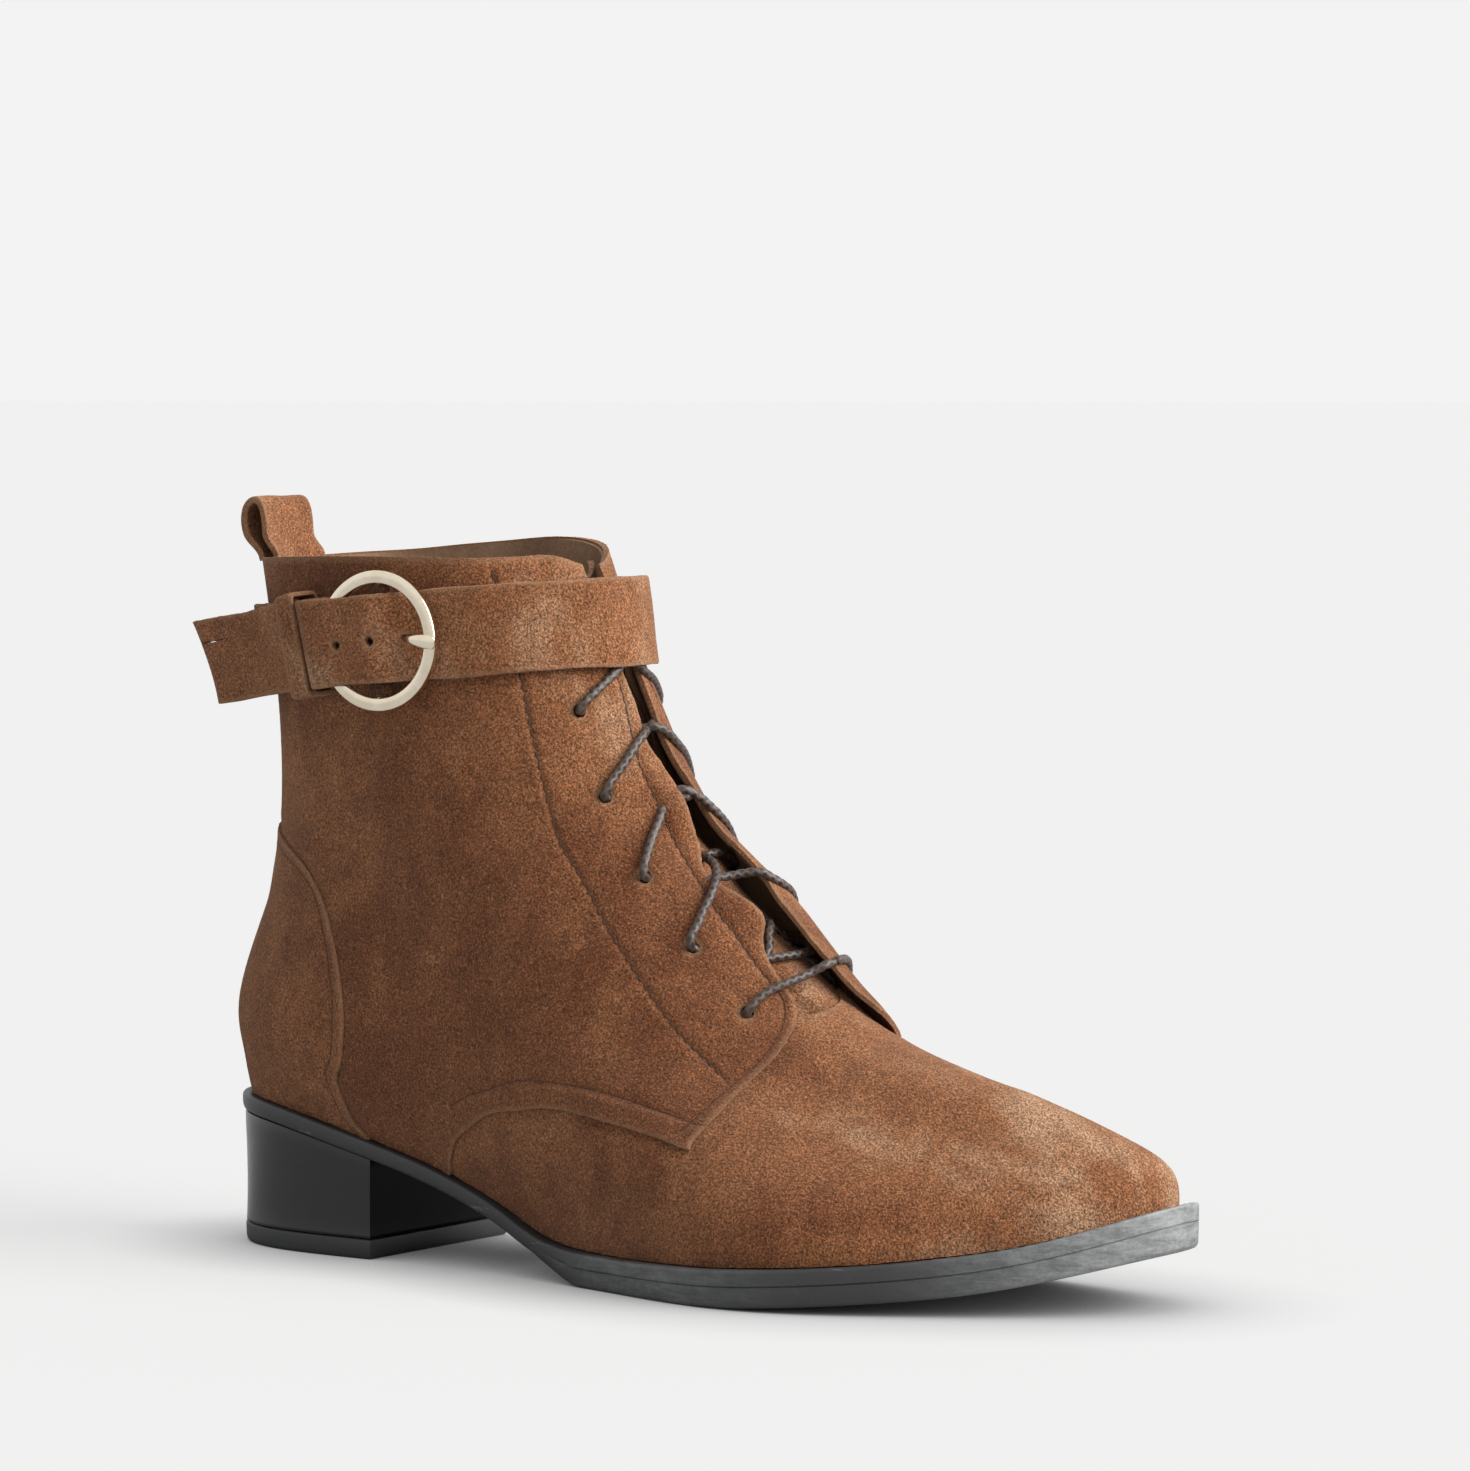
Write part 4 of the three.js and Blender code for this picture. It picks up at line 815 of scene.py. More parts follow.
def vamp():
    t, a = grid_over(0.0, 0.44, 52.0, 308.0, 0.95, 0.8)
    p = upper(t, a).reshape(-1, 3)
    d, _ = signed(vamp_q, t.ravel(), a.ravel(), p, [[-0.3, 303], [-0.3, 57]])
    tt, aa, faces = clip(t, a, np.clip(d, -5, 5).reshape(t.shape))
    p, n = upper(tt, aa), normal(tt, aa)
    edge = near(p, upper(vamp_q[:, 0], vamp_q[:, 1]))[0]
    wrapped = np.where(aa > 180, aa - 360, aa)
    hidden = np.zeros(len(tt), bool)
    dq = np.full(len(tt), 1e9)
    for q, s in ((lateral_q, 1), (medial_q, -1)):
        d, _ = signed(q, tt, wrapped, p, [[1.3, s * 185], [1.3, -s * 10], [-0.3, -s * 10], [-0.3, s * 66]])
        hidden |= d > 0
        dq = np.minimum(dq, np.abs(d))
    out = -0.05 - 0.42 * (1 - smooth(0.2, 4.5, dq)) + relief(p)
    out = np.where(hidden, relief(p) - 0.47 - 0.33 * smooth(0.0, 0.5, dq), out)
    out -= 0.25 * (1 - np.sqrt(np.clip(1 - (1 - np.clip(edge / 0.9, 0, 1)) ** 2, 0, 1)))
    # the joint with the tongue is drawn in
    out -= 0.5 * np.exp(-((edge / 2.2) ** 2)) * smooth(150, 156, aa) * (1 - smooth(196, 202, aa))
    out += fuzz(len(out), 0.012)
    low = out - 0.62
    v, f, rim = shell(p + n * out[:, None], p + n * low[:, None], faces, n)
    r = np.array(sorted({x for e in rim for x in e}))
    v[r] += rng.normal(0, 0.04, (len(r), 3))
    return make("vamp", v, f, suede_vamp, 40, slot="suede", attrs={"rim": np.tile(np.where(hidden, 6, edge), 2)})


vamp()


def counter():
    t, a = grid_over(0.0, 0.64, -60.0, 60.0, 0.9)
    p = upper(t, a).reshape(-1, 3)
    d, _ = signed(counter_q, t.ravel(), a.ravel(), p, [[-0.3, -60], [-0.3, 60]])
    tt, aa, faces = clip(t, a, np.clip(d, -5, 5).reshape(t.shape))
    p, n = upper(tt, aa), normal(tt, aa)
    edge = near(p, counter_p)[0]
    out = 0.18 + 0.34 * (1 - smooth(1.0, 6.0, edge)) + relief(p)
    inset = [(u, v * (1 - 2.6 / 75)) for u, v in COUNTER[2:-1]]
    line = [(u - (0.018 if n_ < 2 else 0), v) for n_, (u, v) in enumerate(inset)]
    both = line[::-1] + [(u, -v) for u, v in line]
    both = sorted(both, key=lambda r: r[1])
    left = [(u, v) for u, v in line]
    for s in (1, -1):
        ld = near(p, surface_line([(u, s * v) for u, v in left])[1])[0]
        out -= 0.22 * np.exp(-((ld / 0.8) ** 2))
    out -= 0.34 * (1 - np.sqrt(np.clip(1 - (1 - np.clip(edge / 0.9, 0, 1)) ** 2, 0, 1)))
    out += fuzz(len(out), 0.012)
    low = np.full(len(out), -0.55) + relief(p)
    v, f, rim = shell(p + n * out[:, None], p + n * low[:, None], faces, n)
    r = np.array(sorted({x for e in rim for x in e}))
    v[r] += rng.normal(0, 0.04, (len(r), 3))
    attrs = {"rim": np.tile(edge, 2)}
    more = {}
    line_fields(tt, aa, p, [left], more)
    attrs |= {k: np.tile(x, 2) for k, x in more.items()}
    return make("heel_counter", v, f, suede_counter, 40, slot="suede", attrs=attrs)


counter()


def lining():
    t, a = grid_over(0.0, 1.0, -180.0, 180.0, 2.1)
    t = np.clip(t, 0.0, 0.997)
    p = upper(t, a).reshape(-1, 3)
    gap = np.vstack([surface_line(FLAP_LATERAL, 0.5)[0], (surface_line(FLAP_MEDIAL, 0.5)[0] * [1, -1] + [0, 360])[::-1]])
    gp = upper(gap[:, 0], gap[:, 1])
    af = np.where(a.ravel() < 0, a.ravel() + 360, a.ravel())
    poly = np.vstack([gap, [[0.40, 182], [0.40, 160]]])
    d = near(p, gp)[0]
    keep = np.where(inside(poly, t.ravel(), af), -d, d) - 0.9
    under = np.minimum(np.minimum((t.ravel() - 0.375) * 250, (0.485 - t.ravel()) * 250), (36 - np.abs(af - 182)) * 0.55)
    under = np.maximum(under, np.minimum(np.minimum((t.ravel() - 0.375) * 250, (0.61 - t.ravel()) * 250), (13 - np.abs(af - 187)) * 0.55))
    keep = np.minimum(keep, -under)
    keep = np.clip(keep, -5, 5).reshape(t.shape)
    pp = p.reshape(t.shape + (3,))
    keep = hole_keep(pp, 1, hole_keep(pp, -1, keep))
    keep[:, -1] = keep[:, 0] = np.minimum(keep[:, 0], keep[:, -1])
    tt, aa, faces = clip(t, a, keep, wrap=True)
    p, n = upper(tt, aa), normal(tt, aa)
    f_ = np.where(aa > 0, lift_lateral(tt, aa), lift_medial(tt, aa))
    base = relief(p) * 0.6 + f_ * smooth(0.405, 0.47, tt) - 0.5 * (1 - smooth(0.40, 0.44, tt))
    v, f, rim = shell(p + n * (base - 1.42)[:, None], p + n * (base - 2.15)[:, None], faces, n)
    return make("lining", v, f, lining_mat, 40, slot="insole_leather")


lining()


def tongue():
    t = np.linspace(0.35, 0.985, 110)
    u = np.linspace(-1, 1, 61)
    t, u = np.meshgrid(t, u, indexing="ij")
    half = mix(30, 42, smooth(0.36, 0.6, t)) * (1 - 0.12 * smooth(0.93, 0.985, t))
    a = 180 + u * half
    p, n = upper(t, a), normal(t, a)
    p, n = p.reshape(-1, 3), n.reshape(-1, 3)
    tt, off = t.ravel(), np.abs(u * half).ravel()
    depth = mix(-1.5, -4.7, smooth(0.395, 0.52, tt))
    depth = np.minimum(depth, mix(depth, np.minimum(depth, -3.6), smooth(13, 20, off)))
    # a few soft waves where the laces press
    wave = 0.5 * np.sin(tt * 61 + off * 0.12) * smooth(0.45, 0.6, tt)
    out = depth + wave + 0.5 * swell(p)
    ids = np.arange(t.size).reshape(t.shape)
    faces = [[int(ids[i, j]), int(ids[i, j + 1]), int(ids[i + 1, j + 1]), int(ids[i + 1, j])] for i in range(t.shape[0] - 1) for j in range(t.shape[1] - 1)]
    v, f, rim = shell(p + n * out[:, None], p + n * (out - 1.5)[:, None], faces, n)
    return make("tongue_cover", v, f, suede_tongue, 45, replaces=["tongue"], slot="suede")


tongue()


# ---------------------------------------------------------------- stitches
def stitches(name, runs, out, length=2.3, gap=0.55, radius=0.21):
    """Short sunk threads along lines on the upper."""
    verts, faces = [], []
    for pts in runs:
        q, p, s = surface_line(pts, 0.2)
        at = 0.6
        while at + length < s[-1] - 0.6:
            u = np.linspace(at, at + length, 5)
            tq = np.column_stack([np.interp(u, s, q[:, 0]), np.interp(u, s, q[:, 1])])
            n = normal(tq[:, 0], tq[:, 1])
            base = upper(tq[:, 0], tq[:, 1])
            flap = np.where(tq[:, 1] > 0, lift_lateral(tq[:, 0], tq[:, 1]), lift_medial(tq[:, 0], tq[:, 1]))
            h = out(tq, base) + flap + np.array([-0.22, -0.02, 0.02, -0.02, -0.22])
            c = base + n * h[:, None]
            d = np.gradient(c, axis=0)
            d /= np.linalg.norm(d, axis=1, keepdims=True)
            b = np.cross(d, n)
            k0 = len(verts)
            for i in range(5):
                r = radius * (0.55 if i in (0, 4) else 1.0)
                for m in range(6):
                    w = m * math.pi / 3
                    verts.append(c[i] + b[i] * r * math.cos(w) + n[i] * r * math.sin(w))
            for i in range(4):
                for m in range(6):
                    m2 = (m + 1) % 6
                    faces.append([k0 + i * 6 + m, k0 + i * 6 + m2, k0 + (i + 1) * 6 + m2, k0 + (i + 1) * 6 + m])
            faces.append([k0 + m for m in range(6)][::-1])
            faces.append([k0 + 24 + m for m in range(6)])
            at += length + gap
    return make(name, np.array(verts), faces, thread_mat, 60, slot="suede")


stitches("stitches_lateral", [EDGE_STITCH, EYESTAY], lambda q, p: relief(p) - 0.27)
stitches("stitches_medial", [mirror(EDGE_STITCH), mirror(EYESTAY)], lambda q, p: relief(p) - 0.27)


# ---------------------------------------------------------------- sole
RIM_BACK, RIM_BALL, RIM_TOE, RIM_THICK = 2.6, 3.2, 4.6, 4.2
BREAST, LIFT = 56.5, 5.0


def rim_at(deg):
    c = (1 - np.cos(np.radians(deg))) / 2
    return mix(mix(RIM_BACK, RIM_BALL, smooth(0.2, 0.62, c)), RIM_TOE, smooth(0.72, 1, c))


def outsole_low(x, y):
    seat = sole_top(x, y) - 0.3 - RIM_THICK
    return mix(seat, np.minimum(sole_under(x, y), seat), smooth(52, 66, x))


def loops_to_mesh(levels, faces_top, verts):
    """Rings of the same count joined one after another."""
    n = len(levels[0])
    faces = []
    for r in range(len(levels) - 1):
        a, b = levels[r], levels[r + 1]
        for m in range(n):
            m2 = (m + 1) % n
            faces.append([a[m], a[m2], b[m2], b[m]])
    return faces


def outsole():
    half = 200
    # angles by even length along the outline
    aa = np.linspace(0, 180, 1500)
    o = outline(aa, 3.0)
    s = np.cumsum(np.r_[0, np.linalg.norm(np.diff(o, axis=0), axis=1)])
    ang = np.interp(np.linspace(0, s[-1], half + 1), s, aa)
    loop = np.concatenate([ang, -ang[1:-1][::-1]])
    n = len(loop)
    rim = rim_at(loop)
    verts, levels = [], []

    def ring(out, z):
        p = outline(loop, out)
        k0 = len(verts)
        verts.extend(np.column_stack([p, z(p[:, 0], p[:, 1])]))
        levels.append(list(range(k0, k0 + n)))

    top = lambda x, y: sole_top(x, y) - 0.3
    c = (1 - np.cos(np.radians(loop))) / 2
    fore = smooth(0.42, 0.50, c)
    knurl = 0.16 * smooth(0.80, 0.90, c) * np.where(np.arange(n) % 2 == 0, 1.0, -1.0)
    frac = lambda f: (lambda x, y: mix(top(x, y), outsole_low(x, y), f))
    ring(-1.2, top)
    ring(0.25, lambda x, y: top(x, y) + 0.02)
    ring(0.7, lambda x, y: top(x, y) + 0.10 + knurl)
    ring(rim - 1.3, lambda x, y: top(x, y) + 0.12 + knurl)
    ring(rim - 0.75, lambda x, y: top(x, y) + 0.12)
    ring(rim - 0.32, lambda x, y: top(x, y) - 0.02)
    ring(rim - 0.08, lambda x, y: top(x, y) - 0.34)
    ring(rim + 0.0, lambda x, y: top(x, y) - 0.8)
    ring(rim + 0.0, frac(0.32))
    g = 0.34 * fore
    ring(rim + 0.0, lambda x, y: frac(0.43)(x, y) + 0.20)
    ring(rim - g, lambda x, y: frac(0.43)(x, y) + 0.06)
    ring(rim - g, lambda x, y: frac(0.43)(x, y) - 0.06)
    ring(rim - 0.02, lambda x, y: frac(0.43)(x, y) - 0.20)
    ring(rim - 0.05, frac(0.62))
    ring(rim - 0.18, lambda x, y: np.maximum(outsole_low(x, y) + 1.0, 0))
    ring(rim - 0.42, lambda x, y: outsole_low(x, y) + 0.42)
    ring(rim - 0.85, lambda x, y: outsole_low(x, y) + 0.08)
    ring(rim - 1.5, outsole_low)
    faces = loops_to_mesh(levels, None, verts)
    # top and underside across the foot
    across = 16
    for lv, flip, z in ((levels[0], False, top), (levels[-1], True, outsole_low)):
        rows = []
        for j in range(half + 1):
            left = lv[j]
            right = lv[0] if j == 0 else (lv[half] if j == half else lv[n - j])
            if left == right:
                rows.append([left] * (across + 1))
                continue
            row = [left]
            a, b = np.array(verts[left]), np.array(verts[right])
            for k in range(1, across):
                p = a + (b - a) * k / across
                p[2] = z(p[0], p[1])
                row.append(len(verts))
                verts.append(p)
            rows.append(row + [right])
        for j in range(half):
            for k in range(across):
                q = [rows[j][k], rows[j][k + 1], rows[j + 1][k + 1], rows[j + 1][k]]
                q = [x for i, x in enumerate(q) if x != q[i - 1]]
                if len(set(q)) < 3:
                    continue
                faces.append(q if flip else q[::-1])
    return solid_fix(np.array(verts), faces)


def solid_fix(v, faces):
    """Turns every face outward, by the sign of the volume."""
    vol = 0.0
    for f in faces:
        a = v[f[0]]
        for i in range(1, len(f) - 1):
            vol += np.dot(a, np.cross(v[f[i]], v[f[i + 1]]))
    return v, (faces if vol > 0 else [f[::-1] for f in faces])


v, f = outsole()
make("outsole_cover", v, f, sole_mat, 50, replaces=["outsole"], slot="sole_rubber")


def heel(name, levels_spec, material, replaces, slot, teeth=None):
    """Closed body under the heel: rings of the heel's outline with a flat breast.
    levels_spec rows: (shrink, z function)."""
    row0 = SECTIONS[0, 1:]
    breast = math.degrees(math.acos(1 - 2 * (BREAST - row0[0]) / (row0[2] - row0[0])))
    k = np.linspace(0, 1, 72)
    side = breast * np.sin(k * math.pi / 2) ** 1.2
    loop = np.concatenate([side[::-1], -side[1:]])
    out = mix(2.4, 0.7, np.abs(loop) / breast)
    breast_n = 22
    verts, rings = [], []
    for shrink, z in levels_spec:
        p = outline(loop, out - shrink)
        p[:, 0] = np.minimum(p[:, 0], BREAST - min(shrink, 0.6))
        a, b = p[-1].copy(), p[0].copy()
        a[0] = b[0] = BREAST - min(shrink, 0.6)
        p[0, 0] = p[-1, 0] = a[0]
        w = np.linspace(0, 1, breast_n + 1)[1:-1, None]
        ring = np.vstack([p, a + (b - a) * w])
        zz = z(ring[:, 0], ring[:, 1])
        k0 = len(verts)
        verts.extend(np.column_stack([ring, np.broadcast_to(zz, len(ring))]))
        rings.append(list(range(k0, k0 + len(ring))))
    faces = loops_to_mesh(rings, None, verts)
    m = len(loop)
    for lv, flip in ((rings[0], False), (rings[-1], True)):
        # a fan of strips from side to side, then the breast
        rows = []
        half = m // 2
        for j in range(half + 1):
            i0, i1 = half - j, half + j
            rows.append((lv[i0], lv[i1]))
        cols = breast_n
        prev = None
        z = levels_spec[0][1] if not flip else levels_spec[-1][1]
        for j, (l, r) in enumerate(rows):
            if l == r:
                row = [l] * (cols + 1)
            elif j == len(rows) - 1:
                row = [l] + [lv[m + breast_n - 2 - c] for c in range(breast_n - 1)] + [r]
            else:
                row = [l]
                a, b = np.array(verts[l]), np.array(verts[r])
                for c in range(1, cols):
                    p = a + (b - a) * c / cols
                    p[2] = float(np.asarray(z(p[0], p[1])))
                    row.append(len(verts))
                    verts.append(p)
                row.append(r)
            if prev is not None:
                for c in range(cols):
                    q = [prev[c], prev[c + 1], row[c + 1], row[c]]
                    q = [x for i, x in enumerate(q) if x != q[i - 1]]
                    if len(set(q)) >= 3:
                        faces.append(q if flip else q[::-1])
            prev = row
    v, f = solid_fix(np.array(verts), faces)
    return make(name, v, f, material, 40, replaces=replaces, slot=slot)


def heel_top(x, y):
    return sole_top(x, y) - 0.3 - RIM_THICK - 0.3


flat = lambda z: (lambda x, y: np.full(np.shape(x), float(z)))
between = lambda f: (lambda x, y: mix(heel_top(x, y), LIFT + 0.15, f))
heel(
    "heel_block_cover",
    [(2.2, heel_top), (0.55, heel_top), (0.12, lambda x, y: heel_top(x, y) - 0.15), (0.0, lambda x, y: heel_top(x, y) - 0.5),
     (0.02, between(0.12)), (0.22, between(0.28)), (0.34, between(0.45)), (0.40, between(0.62)), (0.36, between(0.8)), (0.22, lambda x, y: np.full(np.shape(x), LIFT + 0.9)),
     (0.16, flat(LIFT + 0.5)), (0.34, flat(LIFT + 0.2)), (2.2, flat(LIFT + 0.15))],
    stack_mat, ["heel_block"], "heel_stack",
)
heel(
    "top_lift_cover",
    [(2.2, flat(LIFT - 0.15)), (0.32, flat(LIFT - 0.15)), (0.08, flat(LIFT - 0.35)), (0.0, flat(LIFT - 0.8)), (0.05, flat(2.6)), (0.12, flat(1.2)), (0.30, flat(0.5)), (0.75, flat(0.0)), (2.2, flat(0.0))],
    lift_mat, ["top_lift"], "sole_rubber",
)


# ---------------------------------------------------------------- strap
STRAP_WIDE, STRAP_THICK, BAR_ANGLE, TAIL = 21.5, 2.0, 93.0, 28.5
STRAP_PATH = np.array([
    [2, 154.6, 0.9, 0], [15, 153.8, 1.2, 0], [20, 153.5, 1.7, 0], [36, 152.4, 1.8, 0], [50, 151.6, 1.7, 0], [64, 151.0, 1.5, 0.2],
    [78, 150.6, 1.3, 0.3], [93, 150.5, 1.0, 0.4], [110, 150.9, 1.0, 0.4], [130, 152.0, 1.0, 0.4], [155, 153.8, 0.9, 0.3],
    [170, 154.9, 0.8, 0.1], [185, 156.0, 0.6, 0.0], [200, 157.0, 0.5, 0.0], [213, 157.6, 0.7, 0.5], [228, 158.4, 1.2, 2.0], [243, 159.0, 1.8, 3.7], [256, 159.3, 2.3, 4.9],
    [266, 159.4, 2.6, 5.2], [273, 159.4, 2.6, 5.2], [280, 159.3, 2.5, 5.0], [289, 159.1, 2.1, 4.4], [300, 158.8, 1.6, 3.2],
    [314, 158.3, 1.1, 1.8], [328, 157.3, 0.9, 0.8], [337, 156.6, 0.9, 0.2], [342, 156.2, 1.0, 0], [347, 155.9, 1.2, 0], [349, 155.7, 1.5, 0.5], [351, 155.6, 1.8, 1.6],
    [353, 155.4, 2.2, 2.3], [355.5, 155.2, 3.6, 2], [358, 155.0, 5.4, 0.8], [361, 154.7, 6.3, 0.1], [366, 154.3, 6.7, 0], [370, 154.0, 7.3, 0],
    [374, 153.6, 7.9, 0], [377, 153.3, 8.3, 0], [379, 153.1, 8.4, 0], [381, 152.9, 7.5, 0], [384, 152.7, 5.7, 0], [387, 152.3, 5.0, 0],
    [391, 152.0, 4.7, 0], [397, 151.5, 4.7, 0],
])


KEEPER_ANGLE = 66.4


def level_at(deg, z):
    lo, hi = np.full(np.shape(z), 0.6), np.full(np.shape(z), 1.12)
    for _ in range(30):
        m = (lo + hi) / 2
        below = upper(m, deg)[..., 2] < z
        lo, hi = np.where(below, m, lo), np.where(below, hi, m)
    return (lo + hi) / 2


def face_at(deg, z, off):
    t = level_at(deg, z)
    n = normal(t, deg)
    n[..., 2] = 0
    n /= np.linalg.norm(n, axis=-1, keepdims=True)
    p = upper(t, deg)
    p[..., 2] = z
    return p + n * np.asarray(off)[..., None], n


def stations(deg, z, off, top):
    deg, z, off, top = (np.atleast_1d(np.asarray(x, float)) for x in (deg, z, off, top))
    low, n0 = face_at(deg, z - STRAP_WIDE / 2, off)
    high, n1 = face_at(deg, z + STRAP_WIDE / 2, off + top)
    n = n0 + n1
    n /= np.linalg.norm(n, axis=-1, keepdims=True)
    return low, high, n


def strap_path():
    walk = np.arange(STRAP_PATH[0, 0], STRAP_PATH[-1, 0] + 0.01, 1.5)
    z, off, top = (np.interp(walk, STRAP_PATH[:, 0], STRAP_PATH[:, k]) for k in (1, 2, 3))
    low, high, n = stations(BAR_ANGLE - walk, z, off, top)
    go = (low[-1] + high[-1]) / 2 - (low[-2] + high[-2]) / 2
    go /= np.linalg.norm(go)
    for d, out in ((0.35, 0.6), (0.68, 1.3), (1.0, 1.6)):
        shift = go * TAIL * d + n[-1] * out * d
        shift[2] = -4.4 * d
        low = np.vstack([low, low[len(walk) - 1] + shift])
        high = np.vstack([high, high[len(walk) - 1] + shift])
        n = np.vstack([n, n[len(walk) - 1]])
    mid = (low + high) / 2
    s = np.r_[0, np.cumsum(np.linalg.norm(np.diff(mid, axis=0), axis=1))]
    return low, high, n, s


strap_low, strap_high, strap_n, strap_s = strap_path()
strap_at = [spline(strap_s, x) for x in (strap_low, strap_high, strap_n)]
STRAP_LONG = strap_s[-1]
BUCKLE_NORMAL = np.array([0.055, -0.9985, 0.0])
BUCKLE_NORMAL /= np.linalg.norm(BUCKLE_NORMAL)
_l, _h, _n = stations(BAR_ANGLE + 1.1, 154.4, 4.9, 0.0)
BUCKLE_AT = (_l[0] + _h[0]) / 2
BUCKLE_X = np.cross([0, 0, 1], BUCKLE_NORMAL)
BUCKLE_X /= np.linalg.norm(BUCKLE_X)
TOWARD_TOE = 1.0 if BUCKLE_X[0] > 0 else -1.0


def in_buckle(along, up, out):
    return BUCKLE_AT + BUCKLE_X * along * TOWARD_TOE + np.array([0, 0, 1.0]) * up + BUCKLE_NORMAL * out


def strap_point(u, v, off):
    """u along, v across from the lower edge, off out from the inner face, in mm."""
    low, high, n = (f(u) for f in strap_at)
    n = n / np.linalg.norm(n, axis=-1, keepdims=True)
    return low + (high - low) * (v / STRAP_WIDE)[..., None] + n * off[..., None]


def strap():
    """One long raw-edged strap with punched holes in its tail and a short slit."""
    # round holes, then the longer one that the pin comes out of
    holes = [(STRAP_LONG - 53.5, 9.9, 1.15, 1.15), (STRAP_LONG - 63.3, 10.3, 1.2, 1.2), (STRAP_LONG - 73.0, 10.35, 1.8, 0.95)]
    us = list(np.arange(0, STRAP_LONG, 0.95)) + [STRAP_LONG, STRAP_LONG - 0.12, STRAP_LONG - 0.4]
    for h in holes:
        us += list(np.arange(h[0] - h[2] - 0.5, h[0] + h[2] + 0.5, 0.26))
    us = np.array(sorted(set(np.round(us, 3))))
    us = us[np.r_[True, np.diff(us) > 0.11]]
    vs = np.array(sorted(set(np.round(np.concatenate([
        [0, 0.12, 0.35, 0.7, 1.2], STRAP_WIDE - np.array([0, 0.12, 0.35, 0.7, 1.2]),
        np.linspace(1.9, STRAP_WIDE - 1.9, 20), np.arange(STRAP_WIDE / 2 - 4.4, STRAP_WIDE / 2 + 2.2, 0.27), np.arange(STRAP_WIDE / 2 + 4.4, STRAP_WIDE / 2 + 5.4, 0.12)]), 3))))
    vs = vs[np.r_[True, np.diff(vs) > 0.09]]
    u, v = np.meshgrid(us, vs, indexing="ij")
    keep = np.full(u.shape, 5.0)
    for hu, hv, ru, rv in holes:
        if ru == rv:
            keep = np.minimum(keep, np.hypot(u - hu, v - hv) - ru)
        else:
            q = np.clip(u, hu - ru + rv, hu + ru - rv)
            keep = np.minimum(keep, np.hypot(u - q, v - hv) - rv)
    slit_v = STRAP_WIDE / 2 + 4.9 + 0.10 * np.sin(u * 1.3)
    q = np.clip(u, STRAP_LONG - 9.2, STRAP_LONG + 3)
    keep = np.minimum(keep, np.hypot(u - q, (v - slit_v)) - 0.17)
    uu, vv, faces = clip(u, v, keep)
    rim = np.minimum(vv, STRAP_WIDE - vv)
    tip = STRAP_LONG - uu
    near_edge = np.minimum(rim, tip)
    hd = np.full(len(uu), 9.0)
    for hu, hv, ru, rv in holes:
        q = np.clip(uu, hu - ru + rv, hu + ru - rv)
        hd = np.minimum(hd, np.hypot(uu - q, vv - hv) - rv)
    roll = 1 - np.sqrt(np.clip(1 - (1 - np.clip(near_edge / 0.7, 0, 1)) ** 2, 0, 1))
    uneven = 0.10 * np.sin(uu / 5.3 + vv / 7.0) + 0.07 * np.sin(uu / 2.9 + 1.0) * np.sin(vv / 3.1)
    outer = STRAP_THICK - 0.42 * roll + uneven - 0.35 * np.exp(-((np.clip(hd, 0, 9) / 0.8) ** 2)) + fuzz(len(uu), 0.012)
    inner = 0.0 + 0.25 * roll + 0.5 * uneven
    # the width wanders a little, as a hand-cut edge does
    wander = 0.14 * np.sin(uu / 7.7) + 0.10 * np.sin(uu / 3.1 + 2)
    vw = vv + wander * np.where(vv > STRAP_WIDE / 2, 1, -1) * (np.abs(vv / STRAP_WIDE - 0.5) * 2) ** 6
    # the tail's end is cut a little aslant and its corners lift
    slant = smooth(STRAP_LONG - 12, STRAP_LONG, uu)
    us2 = uu + slant * (vv / STRAP_WIDE - 0.5) * 5.2
    curl = slant * (np.abs(vv / STRAP_WIDE - 0.5) * 2) ** 2 * 0.9
    top = strap_point(us2, vw, outer + curl)
    low = strap_point(us2, vw, inner + curl)
    out = strap_at[2](uu)
    vts, fcs, rims = shell(top, low, faces, out)
    r = np.array(sorted({x for e in rims for x in e}))
    vts[r] += rng.normal(0, 0.05, (len(r), 3))
    return make("strap_cover", vts, fcs, suede_strap, 40, replaces=["ankle_strap"], slot="suede", attrs={"rim": np.tile(np.minimum(near_edge, np.clip(hd, 0, 6)), 2)})


strap()


def grid_faces(ni, nj, wrap_i=False, wrap_j=False, start=0):
    out = []
    for i in range(ni if wrap_i else ni - 1):
        for j in range(nj if wrap_j else nj - 1):
            i2, j2 = (i + 1) % ni, (j + 1) % nj
            out.append([start + i * nj + j, start + i * nj + j2, start + i2 * nj + j2, start + i2 * nj + j])
    return out


